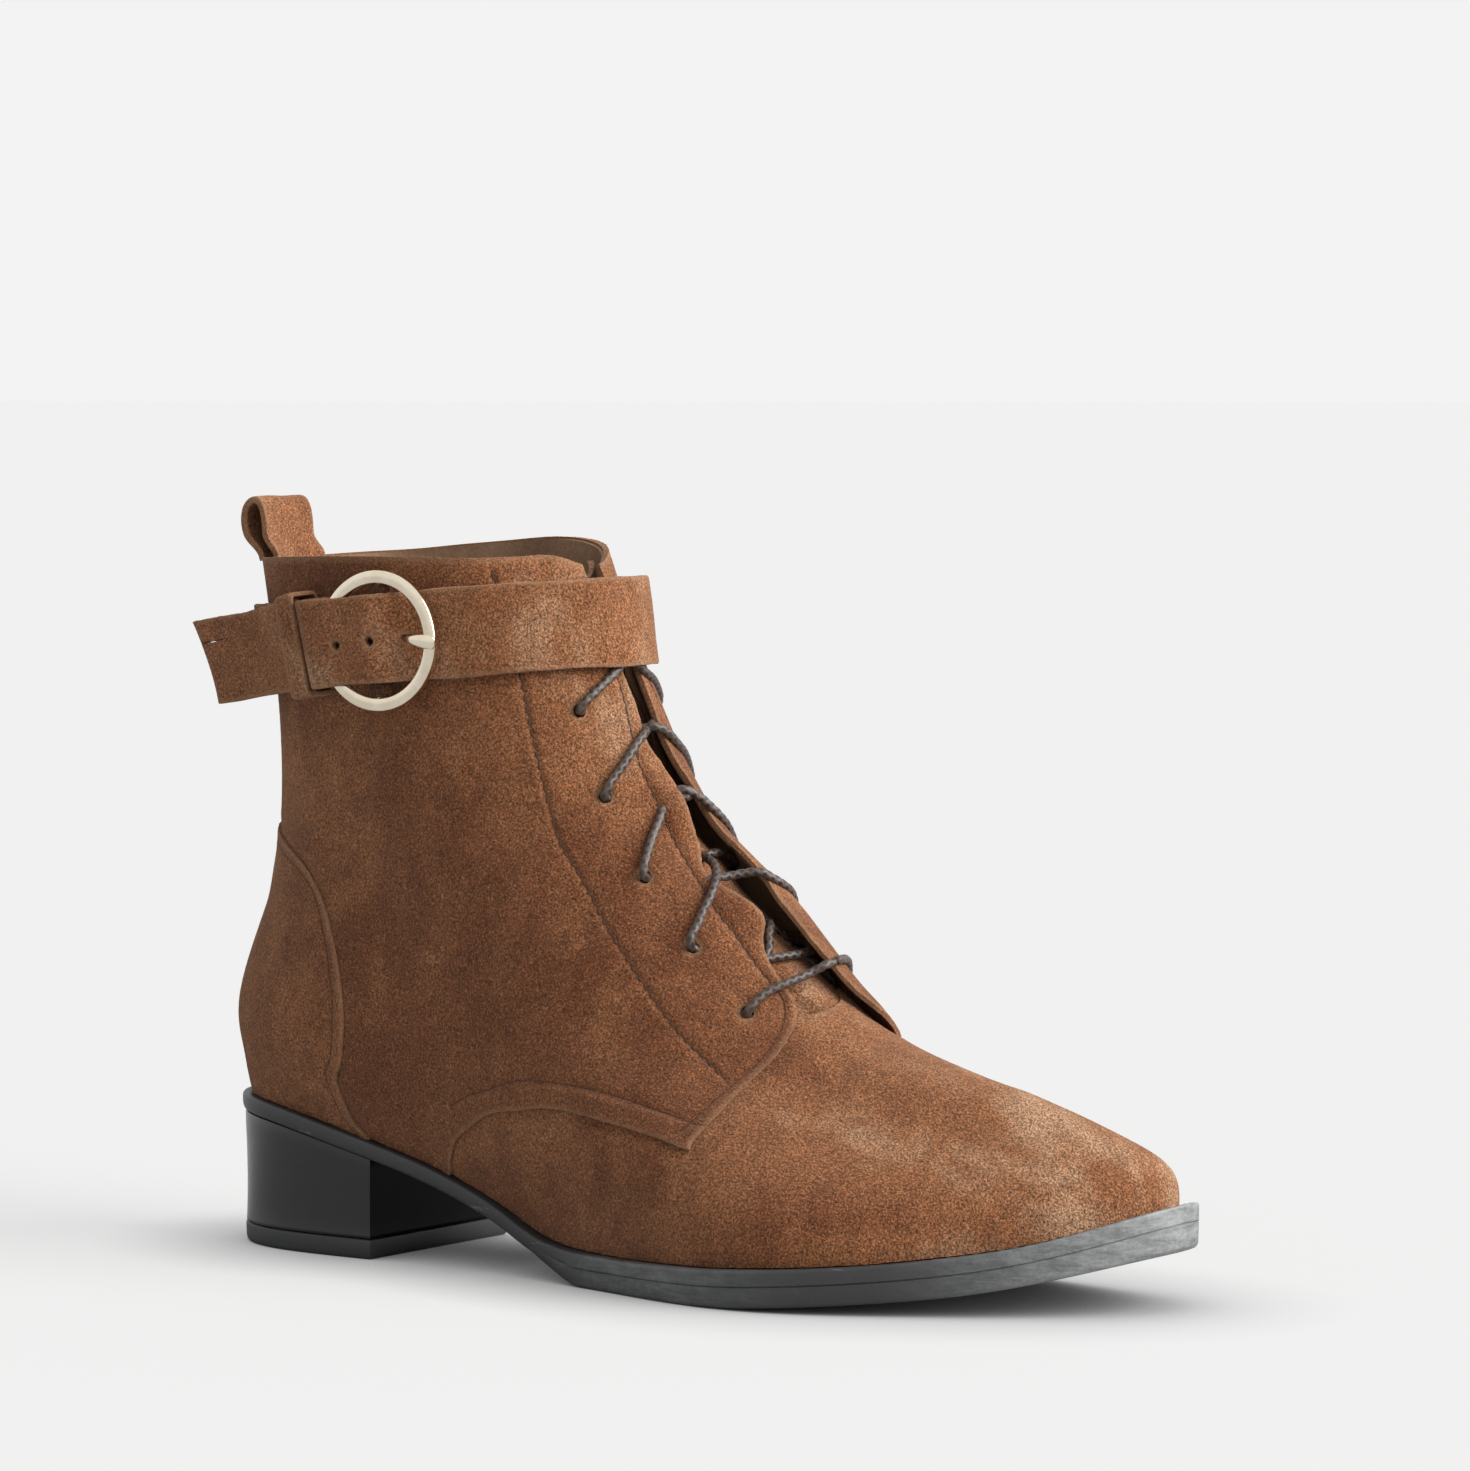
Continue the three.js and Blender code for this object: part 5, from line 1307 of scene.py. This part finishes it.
def buckle():
    r, b, h = 17.35, 3.3, 0.9
    # a rounded band: flat top with soft shoulders
    prof = []
    for k in range(40):
        w = 2 * math.pi * k / 40
        cx, cz = math.cos(w), math.sin(w)
        px = abs(cx) ** 0.32 * math.copysign(1, cx) * b / 2
        pz = abs(cz) ** 0.45 * math.copysign(1, cz) * h
        prof.append((r - b / 2 + px, pz + (0.10 * (1 - (px / (b / 2)) ** 2) if pz > 0 else 0)))
    n = 160
    verts = []
    for k in range(n):
        w = 2 * math.pi * k / n
        for pr, pz in prof:
            verts.append(in_buckle(pr * math.cos(w), pr * math.sin(w), pz))
    v, f = solid_fix(np.array(verts), grid_faces(n, len(prof), True, True))
    make("buckle_ring_cover", v, f, gold_mat, 60, replaces=["buckle_ring"], slot="buckle_metal")
    # bar across the middle, under the strap
    verts, m, rows = [], 14, 19
    for i in range(rows):
        s = -1 + 2 * i / (rows - 1)
        rr = 0.75 * (1 if 0 < i < rows - 1 else 0.6)
        for k in range(m):
            w = 2 * math.pi * k / m
            verts.append(in_buckle(rr * math.cos(w), s * (r - b + 0.5), rr * math.sin(w) - 0.5))
    f = grid_faces(rows, m, False, True) + [list(range(m))[::-1], [(rows - 1) * m + k for k in range(m)]]
    v, f = solid_fix(np.array(verts), f)
    make("buckle_bar", v, f, gold_mat, 60, slot="buckle_metal")
    # the strap's near end is folded round the bar
    verts, m, rows = [], 18, 25
    for i in range(rows):
        s = -1 + 2 * i / (rows - 1)
        rr = 1.25 * (1 if 0 < i < rows - 1 else 0.7)
        for k in range(m):
            w = 2 * math.pi * k / m
            verts.append(in_buckle(2.6 * rr * math.cos(w) * (1 + 0.06 * math.sin(i * 1.7)), s * (r - b - 0.1), rr * math.sin(w) - 0.75))
    f = grid_faces(rows, m, False, True) + [list(range(m))[::-1], [(rows - 1) * m + k for k in range(m)]]
    v, f = solid_fix(np.array(verts), f)
    # its darker suede is painted shade inside the ring
    make("strap_fold", v, f, suede_fold_shaded, 50, slot="suede", attrs={"rim": np.full(len(v), 9.0)})
    # pin: flat, wider where it rests on the ring
    path = catmull([in_buckle(6.6, 0.5, -1.7), in_buckle(8.2, 0.6, -0.9), in_buckle(9.5, 0.6, 0.5), in_buckle(11.2, 0.5, 1.35), in_buckle(13.2, 0.35, 1.65), in_buckle(16.2, 0.1, 1.7), in_buckle(18.0, 0, 1.5)], 46)
    d = np.gradient(path, axis=0)
    d /= np.linalg.norm(d, axis=1, keepdims=True)
    up = np.array([0, 0, 1.0])
    nn = np.cross(d, up) * TOWARD_TOE
    nn = np.where((nn @ BUCKLE_NORMAL)[:, None] < 0, -nn, nn)
    verts, m = [], 20
    for i, c in enumerate(path):
        q = i / (len(path) - 1)
        wide = mix(0.95, 1.75, smooth(0.25, 0.80, q)) * (1 - 0.55 * smooth(0.95, 1.0, q))
        deep = 0.62 * (1 - 0.35 * smooth(0.9, 1, q)) * (0.75 if i in (0, len(path) - 1) else 1)
        for k in range(m):
            w = 2 * math.pi * k / m
            cy, cz = math.cos(w), math.sin(w)
            verts.append(c + up * wide * abs(cy) ** 0.8 * math.copysign(1, cy) + nn[i] * deep * abs(cz) ** 0.8 * math.copysign(1, cz))
    rows = len(path)
    f = grid_faces(rows, m, False, True) + [list(range(m))[::-1], [(rows - 1) * m + k for k in range(m)]]
    v, f = solid_fix(np.array(verts), f)
    make("buckle_pin_cover", v, f, gold_mat, 50, replaces=["buckle_pin"], slot="buckle_metal")


buckle()


def band_from(front, rear, name, material, **kw):
    """Closed band from two nets of the same size."""
    ni, nj = front.shape[:2]
    faces = grid_faces(ni, nj)
    n = np.cross(np.gradient(front, axis=0), np.gradient(front, axis=1)).reshape(-1, 3)
    flipped = n if np.dot(n[0], (front - rear).reshape(-1, 3)[0]) > 0 else -n
    v, f, rims = shell(front.reshape(-1, 3), rear.reshape(-1, 3), faces, flipped)
    r = np.array(sorted({x for e in rims for x in e}))
    v[r] += rng.normal(0, 0.04, (len(r), 3))
    return make(name, v, f, material, 40, **kw)


def keeper():
    l, h, n = (x[0] for x in stations(KEEPER_ANGLE, 152.9, 0.3, 0.0))
    mid = (l + h) / 2
    up = (h - l) / np.linalg.norm(h - l)
    out = n - up * np.dot(n, up)
    out /= np.linalg.norm(out)
    along = np.cross(up, out)
    hi, deep, th = STRAP_WIDE / 2 + 1.3, 7.4, 1.0
    # closed path round both layers, with soft corners
    corners = [(-hi - th / 2, th / 2), (hi + th / 2, th / 2), (hi + th / 2, deep + th * 1.5), (-hi - th / 2, deep + th * 1.5)]
    path = []
    rad = 1.5
    for k in range(4):
        a, b, c = np.array(corners[k - 1]), np.array(corners[k]), np.array(corners[(k + 1) % 4])
        d0, d1 = (a - b) / np.linalg.norm(a - b), (c - b) / np.linalg.norm(c - b)
        for w in np.linspace(0, 1, 8):
            p0, p1 = b + d0 * rad, b + d1 * rad
            path.append((1 - w) ** 2 * p0 + 2 * w * (1 - w) * b + w * w * p1)
    path = np.array(path)
    closed = np.vstack([path, path[:1]])
    path = even(closed, 150)[:-1]
    d = np.roll(path, -1, 0) - np.roll(path, 1, 0)
    d /= np.linalg.norm(d, axis=1, keepdims=True)
    nrm = np.column_stack([d[:, 1], -d[:, 0]])
    if np.dot(nrm[0], path[0] - path.mean(0)) < 0:
        nrm = -nrm
    ws = np.array([-3.25, -3.13, -2.9, -2.5, -1.7, -0.8, 0, 0.8, 1.7, 2.5, 2.9, 3.13, 3.25])
    front, rear = [], []
    for i, (p, q) in enumerate(zip(path, nrm)):
        fr, rr = [], []
        for w in ws:
            e = 1 - math.sqrt(max(0, 1 - (1 - min(1, (3.25 - abs(w)) / 0.6)) ** 2))
            bow = 0.22 * (1 - (w / 3.25) ** 2) + 0.07 * math.sin(i / 6.0 + w)
            o = 0.5 + bow - 0.28 * e
            for lst, k in ((fr, o), (rr, -0.5 + 0.1 * e)):
                z = p + q * k
                lst.append(mid + up * z[0] + out * z[1] + along * w)
        front.append(fr)
        rear.append(rr)
    front, rear = np.array(front), np.array(rear)
    ni, nj = front.shape[:2]
    verts = np.vstack([front.reshape(-1, 3), rear.reshape(-1, 3)])
    faces = grid_faces(ni, nj, True, False)
    back = [[x + ni * nj for x in f[::-1]] for f in grid_faces(ni, nj, True, False)]
    sides = []
    for i in range(ni):
        i2 = (i + 1) % ni
        sides.append([i * nj, i2 * nj, i2 * nj + ni * nj, i * nj + ni * nj][::-1])
        j = nj - 1
        sides.append([i * nj + j, i2 * nj + j, i2 * nj + j + ni * nj, i * nj + j + ni * nj])
    verts, faces = solid_fix(verts, faces + back + sides)
    rimv = np.tile(np.tile(3.25 - np.abs(ws), ni), 2)
    return make("keeper_cover", verts, faces, suede_strap, 40, replaces=["strap_keeper"], slot="suede", attrs={"rim": rimv})


keeper()


# ---------------------------------------------------------------- pull loop
LOOP_SIDE = [
    (1.35, -13.0), (1.35, -7.0), (1.3, -2.6), (1.2, -0.6), (0.75, 1.6), (-0.1, 3.6), (-0.7, 6.2), (-1.0, 9.2), (-1.7, 12.4),
    (-3.2, 14.6), (-5.4, 14.5), (-7.1, 12.8), (-7.7, 10.2), (-7.4, 7.4), (-6.3, 4.8), (-5.0, 2.6), (-4.05, 0.7), (-3.7, -0.6),
]


def pull_loop():
    back = upper(1.0, 0.0)
    x0, z0 = back[0] + 2.0, back[2]
    side = catmull(LOOP_SIDE, 110)
    d = np.gradient(side, axis=0)
    d /= np.linalg.norm(d, axis=1, keepdims=True)
    nx, nz = d[:, 1], -d[:, 0]
    ys = np.array([-9.5, -9.35, -9.1, -8.7, -8.0, -6.6, -5, -3.3, -1.6, 0, 1.6, 3.3, 5, 6.6, 8.0, 8.7, 9.1, 9.35, 9.5])
    front, rear, rim = [], [], []
    for i, (u, v) in enumerate(side):
        fr, rr = [], []
        for y in ys:
            bend = (y * y / 34) * (1 - 0.75 * float(smooth(0.8, 6, v))) + max(0.0, -v) * 0.21
            e = 1 - math.sqrt(max(0, 1 - (1 - min(1, (9.5 - abs(y)) / 0.7)) ** 2))
            w = 0.95 - 0.3 * e + 0.08 * math.sin(i / 7.0 + y / 2.0)
            fr.append([x0 + u + bend + nx[i] * w, y, z0 + v + nz[i] * w])
            rr.append([x0 + u + bend - nx[i] * (0.95 - 0.2 * e), y, z0 + v - nz[i] * (0.95 - 0.2 * e)])
            rim.append(9.5 - abs(y))
        front.append(fr)
        rear.append(rr)
    o = band_from(np.array(front), np.array(rear), "pull_loop_cover", suede_strap, replaces=["pull_loop"], slot="suede", attrs={"rim": np.tile(rim, 2)})
    return o


pull_loop()


# ---------------------------------------------------------------- laces
LACE_R = 1.12


def braid(name, path, replaces=()):
    """Round waxed braid: lobes of crossing strands along the line."""
    path = np.asarray(path, float)
    s = np.r_[0, np.cumsum(np.linalg.norm(np.diff(path, axis=0), axis=1))]
    n = int(s[-1] / 0.30)
    u = np.linspace(0, s[-1], n + 1)
    p = np.column_stack([np.interp(u, s, path[:, k]) for k in range(3)])
    d = np.gradient(p, axis=0)
    d /= np.linalg.norm(d, axis=1, keepdims=True)
    # frame carried along the line
    nrm = np.zeros_like(p)
    a = np.cross(d[0], [0, 0, 1.0])
    nrm[0] = a / np.linalg.norm(a)
    for i in range(1, len(p)):
        w = nrm[i - 1] - d[i] * np.dot(nrm[i - 1], d[i])
        nrm[i] = w / np.linalg.norm(w)
    b = np.cross(d, nrm)
    m = 22
    ang = np.arange(m) * 2 * math.pi / m
    lay = u[:, None] / 2.35 * 2 * math.pi
    one = np.cos(3 * ang[None, :] + lay)
    two = np.cos(3 * ang[None, :] - lay)
    ridge = np.maximum(one, two)
    r = LACE_R * (0.90 + 0.10 * ridge)
    end = np.minimum(u, s[-1] - u)[:, None]
    r = r * np.clip(end / 0.6, 0.35, 1)
    verts = p[:, None, :] + nrm[:, None, :] * (r * np.cos(ang))[..., None] + b[:, None, :] * (r * np.sin(ang))[..., None]
    rows = len(p)
    f = grid_faces(rows, m, False, True) + [list(range(m))[::-1], [(rows - 1) * m + k for k in range(m)]]
    v, f = solid_fix(verts.reshape(-1, 3), f)
    return make(name, v, f, cord_mat, 75, replaces=replaces, slot="lace_cord", attrs={"ridge": (ridge.ravel() + 0.2) / 1.2})


# Rows of t, angle (0 to 360, over the ridge), height over the face in mm, and 1 where that
# height counts from the medial flap. From the lowest hole on each side, crossing upward.
LACE_A = [
    (0.443, 179.0, 1.3, 1), (0.4425, 174.0, 1.9, 0.55), (0.442, 170.0, 1.7, 0.1), (0.438, 164.0, 1.6, 0), (0.433, 158.3, 1.6, 0), (0.425, 151.8, 1.5, 0), (0.415, 147.0, 1.4, 0), (0.407, 144.0, 0.9, 0),
    (0.404, 142.9, -0.6, 0), (0.406, 144.0, -2.3, 0), (0.425, 150.0, -2.8, 0), (0.452, 157.0, -2.3, 0), (0.465, 160.3, -2.0, 0), (0.469, 168.4, -2.0, 0), (0.470, 178.6, -2.0, 0.1), (0.470, 190.0, -2.6, 0.5), (0.472, 205.0, -2.4, 1), (0.474, 217.0, -2.0, 1),
    (0.475, 219.0, 0.3, 1), (0.488, 212.0, 0.7, 1), (0.508, 203.0, 0.4, 1), (0.524, 194.0, 0.4, 1), (0.535, 187.5, 0.6, 1), (0.545, 183.0, 0.8, 1), (0.555, 179.0, 0.9, 1), (0.564, 174.5, 0.9, 0.4), (0.567, 169.0, 0.6, 0.05), (0.567, 164.6, 0.4, 0),
    (0.567, 158.0, -1.0, 0), (0.568, 148.0, -2.0, 0), (0.569, 142.5, -1.6, 0),
    (0.570, 141.0, 0.6, 0), (0.585, 143.0, 1.7, 0), (0.618, 148.7, 1.5, 0), (0.642, 153.5, 1.45, 0), (0.663, 158.4, 1.3, 0), (0.676, 161.5, 0.9, 0), (0.684, 164.0, 0.1, 0), (0.690, 168.0, -1.0, 0), (0.696, 178.0, -1.8, 0.3), (0.700, 192.0, -2.2, 1), (0.701, 208.0, -2.2, 1),
    (0.699, 214.0, -1.4, 1), (0.700, 215.0, 0.3, 1), (0.714, 211.0, 0.7, 1), (0.735, 203.0, 0.4, 1), (0.749, 195.0, 0.4, 1), (0.757, 189.5, 0.6, 1), (0.765, 186.0, 0.8, 1), (0.775, 181.8, 1.1, 1), (0.784, 176.5, 0.9, 0.7), (0.788, 172.5, -0.9, 0),
    (0.797, 162.0, -2.6, 0), (0.806, 152.0, -2.6, 0), (0.809, 149.0, -1.4, 0),
    (0.810, 148.0, 0.6, 0), (0.820, 151.0, 1.6, 0), (0.834, 156.7, 1.5, 0), (0.857, 167.8, 1.6, 0), (0.870, 173.7, 1.4, 0.2), (0.883, 180.0, 0.9, 0.8), (0.893, 190.0, 0.4, 1), (0.900, 206.0, 1.0, 1), (0.905, 209.5, 0.6, 1), (0.905, 210.0, -0.8, 1),
]
LACE_B = [
    (0.443, 179.0, 1.3, 1), (0.4435, 183.0, 1.4, 1), (0.444, 188.0, 0.9, 1), (0.441, 193.0, 0.5, 1), (0.430, 203.0, 0.4, 1), (0.414, 212.0, 0.7, 1),
    (0.405, 217.0, 0.5, 1), (0.404, 217.0, -1.6, 1), (0.412, 212.0, -2.8, 1), (0.440, 202.0, -3.4, 0.8), (0.480, 192.0, -5.2, 0.2), (0.512, 183.0, -5.2, 0), (0.514, 178.5, -3.4, 0), (0.506, 175.5, -2.2, 0), (0.493, 169.2, -1.9, 0), (0.472, 162.4, -2.0, 0), (0.468, 155.0, -2.3, 0), (0.472, 145.0, -2.2, 0),
    (0.474, 141.0, -1.2, 0), (0.475, 140.6, 0.6, 0), (0.483, 141.8, 1.6, 0), (0.497, 145.3, 1.5, 0), (0.515, 149.6, 1.6, 0), (0.532, 154.3, 1.8, 0), (0.550, 159.0, 1.6, 0), (0.566, 163.2, 0.9, 0), (0.590, 168.5, -0.2, 0), (0.612, 172.0, -2.2, 0), (0.624, 175.0, -4.6, 0), (0.620, 190.0, -4.2, 0.6), (0.590, 207.0, -2.4, 1),
    (0.569, 218.0, -1.6, 1), (0.570, 219.0, 0.3, 1), (0.588, 214.0, 0.7, 1), (0.615, 206.0, 0.4, 1), (0.642, 197.0, 0.4, 1), (0.658, 190.5, 0.6, 1), (0.671, 186.5, 0.8, 1), (0.687, 181.2, 1.1, 1), (0.700, 175.5, 1.1, 0.8), (0.705, 170.0, 0.0, 0),
    (0.705, 160.0, -0.8, 0), (0.702, 150.0, -2.0, 0), (0.699, 145.5, -1.4, 0),
    (0.700, 144.8, 0.6, 0), (0.710, 147.0, 1.6, 0), (0.722, 150.0, 1.5, 0), (0.743, 156.7, 1.5, 0), (0.762, 163.0, 1.4, 0), (0.774, 168.3, 1.2, 0), (0.783, 173.5, 0.2, 0), (0.792, 182.0, -1.4, 0.6), (0.802, 196.0, -2.2, 1), (0.808, 208.0, -2.2, 1),
    (0.810, 212.0, 0.3, 1), (0.821, 208.0, 0.7, 1), (0.838, 200.0, 0.4, 1), (0.847, 193.0, 0.4, 1), (0.852, 188.0, 0.6, 1), (0.858, 184.6, 0.8, 1), (0.865, 181.0, 1.0, 1), (0.871, 177.0, 1.0, 0.7), (0.876, 173.0, 0.1, 0.2), (0.884, 168.0, -1.4, 0), (0.903, 153.0, -1.6, 0), (0.905, 150.5, -1.2, 0), (0.905, 150.0, 0.3, 0),
]


def lace_line(run):
    pts = []
    for t, d, o, k in run:
        rise = float(lift_medial(np.array(t), np.array(min(360.0 - d, 180.0))))
        pts.append(on(np.array(t), np.array(d if d <= 180 else d - 360), np.array(o + k * rise)))
    return catmull(np.array(pts), 1200)


braid("lace_first", lace_line(LACE_A), ["lace_bar", "lace_crossing_1", "lace_crossing_3", "lace_crossing_5"])
braid("lace_second", lace_line(LACE_B), ["lace_crossing_2", "lace_crossing_4"])


# ---------------------------------------------------------------- inside
insole_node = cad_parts["insole"]
insole_node.data.materials.clear()
insole_node.data.materials.append(lining_mat)


# ---------------------------------------------------------------- stage, light, camera
def stage():
    n, size = 24, 220.0
    xs = np.linspace(-size, size, n + 1)
    verts = [(x, y, 0.0) for x in xs for y in xs]
    me = bpy.data.meshes.new("studio_floor")
    me.from_pydata(verts, [], grid_faces(n + 1, n + 1))
    me.materials.append(floor_material())
    o = bpy.data.objects.new("studio_floor", me)
    bpy.context.scene.collection.objects.link(o)
    o.location.z = -0.0001


stage()


def lamp(name, kind, place, aim, energy, size=None, colour=(1, 1, 1), size_y=None, angle=None):
    data = bpy.data.lights.new(name, kind)
    data.energy = energy
    data.color = colour
    if kind == "AREA":
        data.shape = "RECTANGLE"
        data.size, data.size_y = size, size_y or size
    if angle:
        data.angle = math.radians(angle)
    o = bpy.data.objects.new(name, data)
    bpy.context.scene.collection.objects.link(o)
    o.location = place
    o.rotation_mode = "QUATERNION"
    o.rotation_quaternion = (Vector(aim) - Vector(place)).to_track_quat("-Z", "Y")
    return o


AZ, PITCH = math.radians(35.0), math.radians(3.23)
FWD = Vector((-math.sin(AZ) * math.cos(PITCH), math.cos(AZ) * math.cos(PITCH), -math.sin(PITCH)))
RIGHT = Vector((math.cos(AZ), math.sin(AZ), 0))
AWAY = Vector((-math.sin(AZ), math.cos(AZ), 0))
MIDDLE = Vector((0.09, 0.0, 0.08))
UP = Vector((0, 0, 1))

sun_from = RIGHT * 0.81 - AWAY * 0.32 + UP * 0.50
lamp("key", "SUN", MIDDLE + sun_from * 3, MIDDLE, 5.0, angle=50)

# The studio: white to the camera and in reflections, dimmer as fill light.
world = bpy.data.worlds.new("studio")
bpy.context.scene.world = world
world.use_nodes = True
nt = world.node_tree
bg = nt.nodes["Background"]
bg.inputs[0].default_value = (0.896, 0.896, 0.896, 1)
bg.inputs[1].default_value = 1.0
dim = nt.nodes.new("ShaderNodeBackground")
dim.inputs[0].default_value = (0.95, 0.98, 1.0, 1)
dim.inputs[1].default_value = 0.54
path = nt.nodes.new("ShaderNodeLightPath")
seen = nt.nodes.new("ShaderNodeMath")
seen.operation = "MAXIMUM"
nt.links.new(path.outputs["Is Camera Ray"], seen.inputs[0])
nt.links.new(path.outputs["Is Glossy Ray"], seen.inputs[1])
pick = nt.nodes.new("ShaderNodeMixShader")
nt.links.new(seen.outputs[0], pick.inputs[0])
nt.links.new(dim.outputs[0], pick.inputs[1])
nt.links.new(bg.outputs[0], pick.inputs[2])
nt.links.new(pick.outputs[0], nt.nodes["World Output"].inputs[0])

cam_data = bpy.data.cameras.new("camera")
cam_data.sensor_width = 36.0
cam_data.lens = 6000.0 / 1471.0 * 36.0
cam_data.clip_start, cam_data.clip_end = 0.05, 1000.0
cam = bpy.data.objects.new("camera", cam_data)
bpy.context.scene.collection.objects.link(cam)
cam.location = (0.9528, -1.1905, 0.2142)
cam.rotation_mode = "QUATERNION"
cam.rotation_quaternion = FWD.to_track_quat("-Z", "Y")
bpy.context.scene.camera = cam
bpy.context.scene.view_settings.view_transform = "Standard"
bpy.context.scene.view_settings.look = "None"
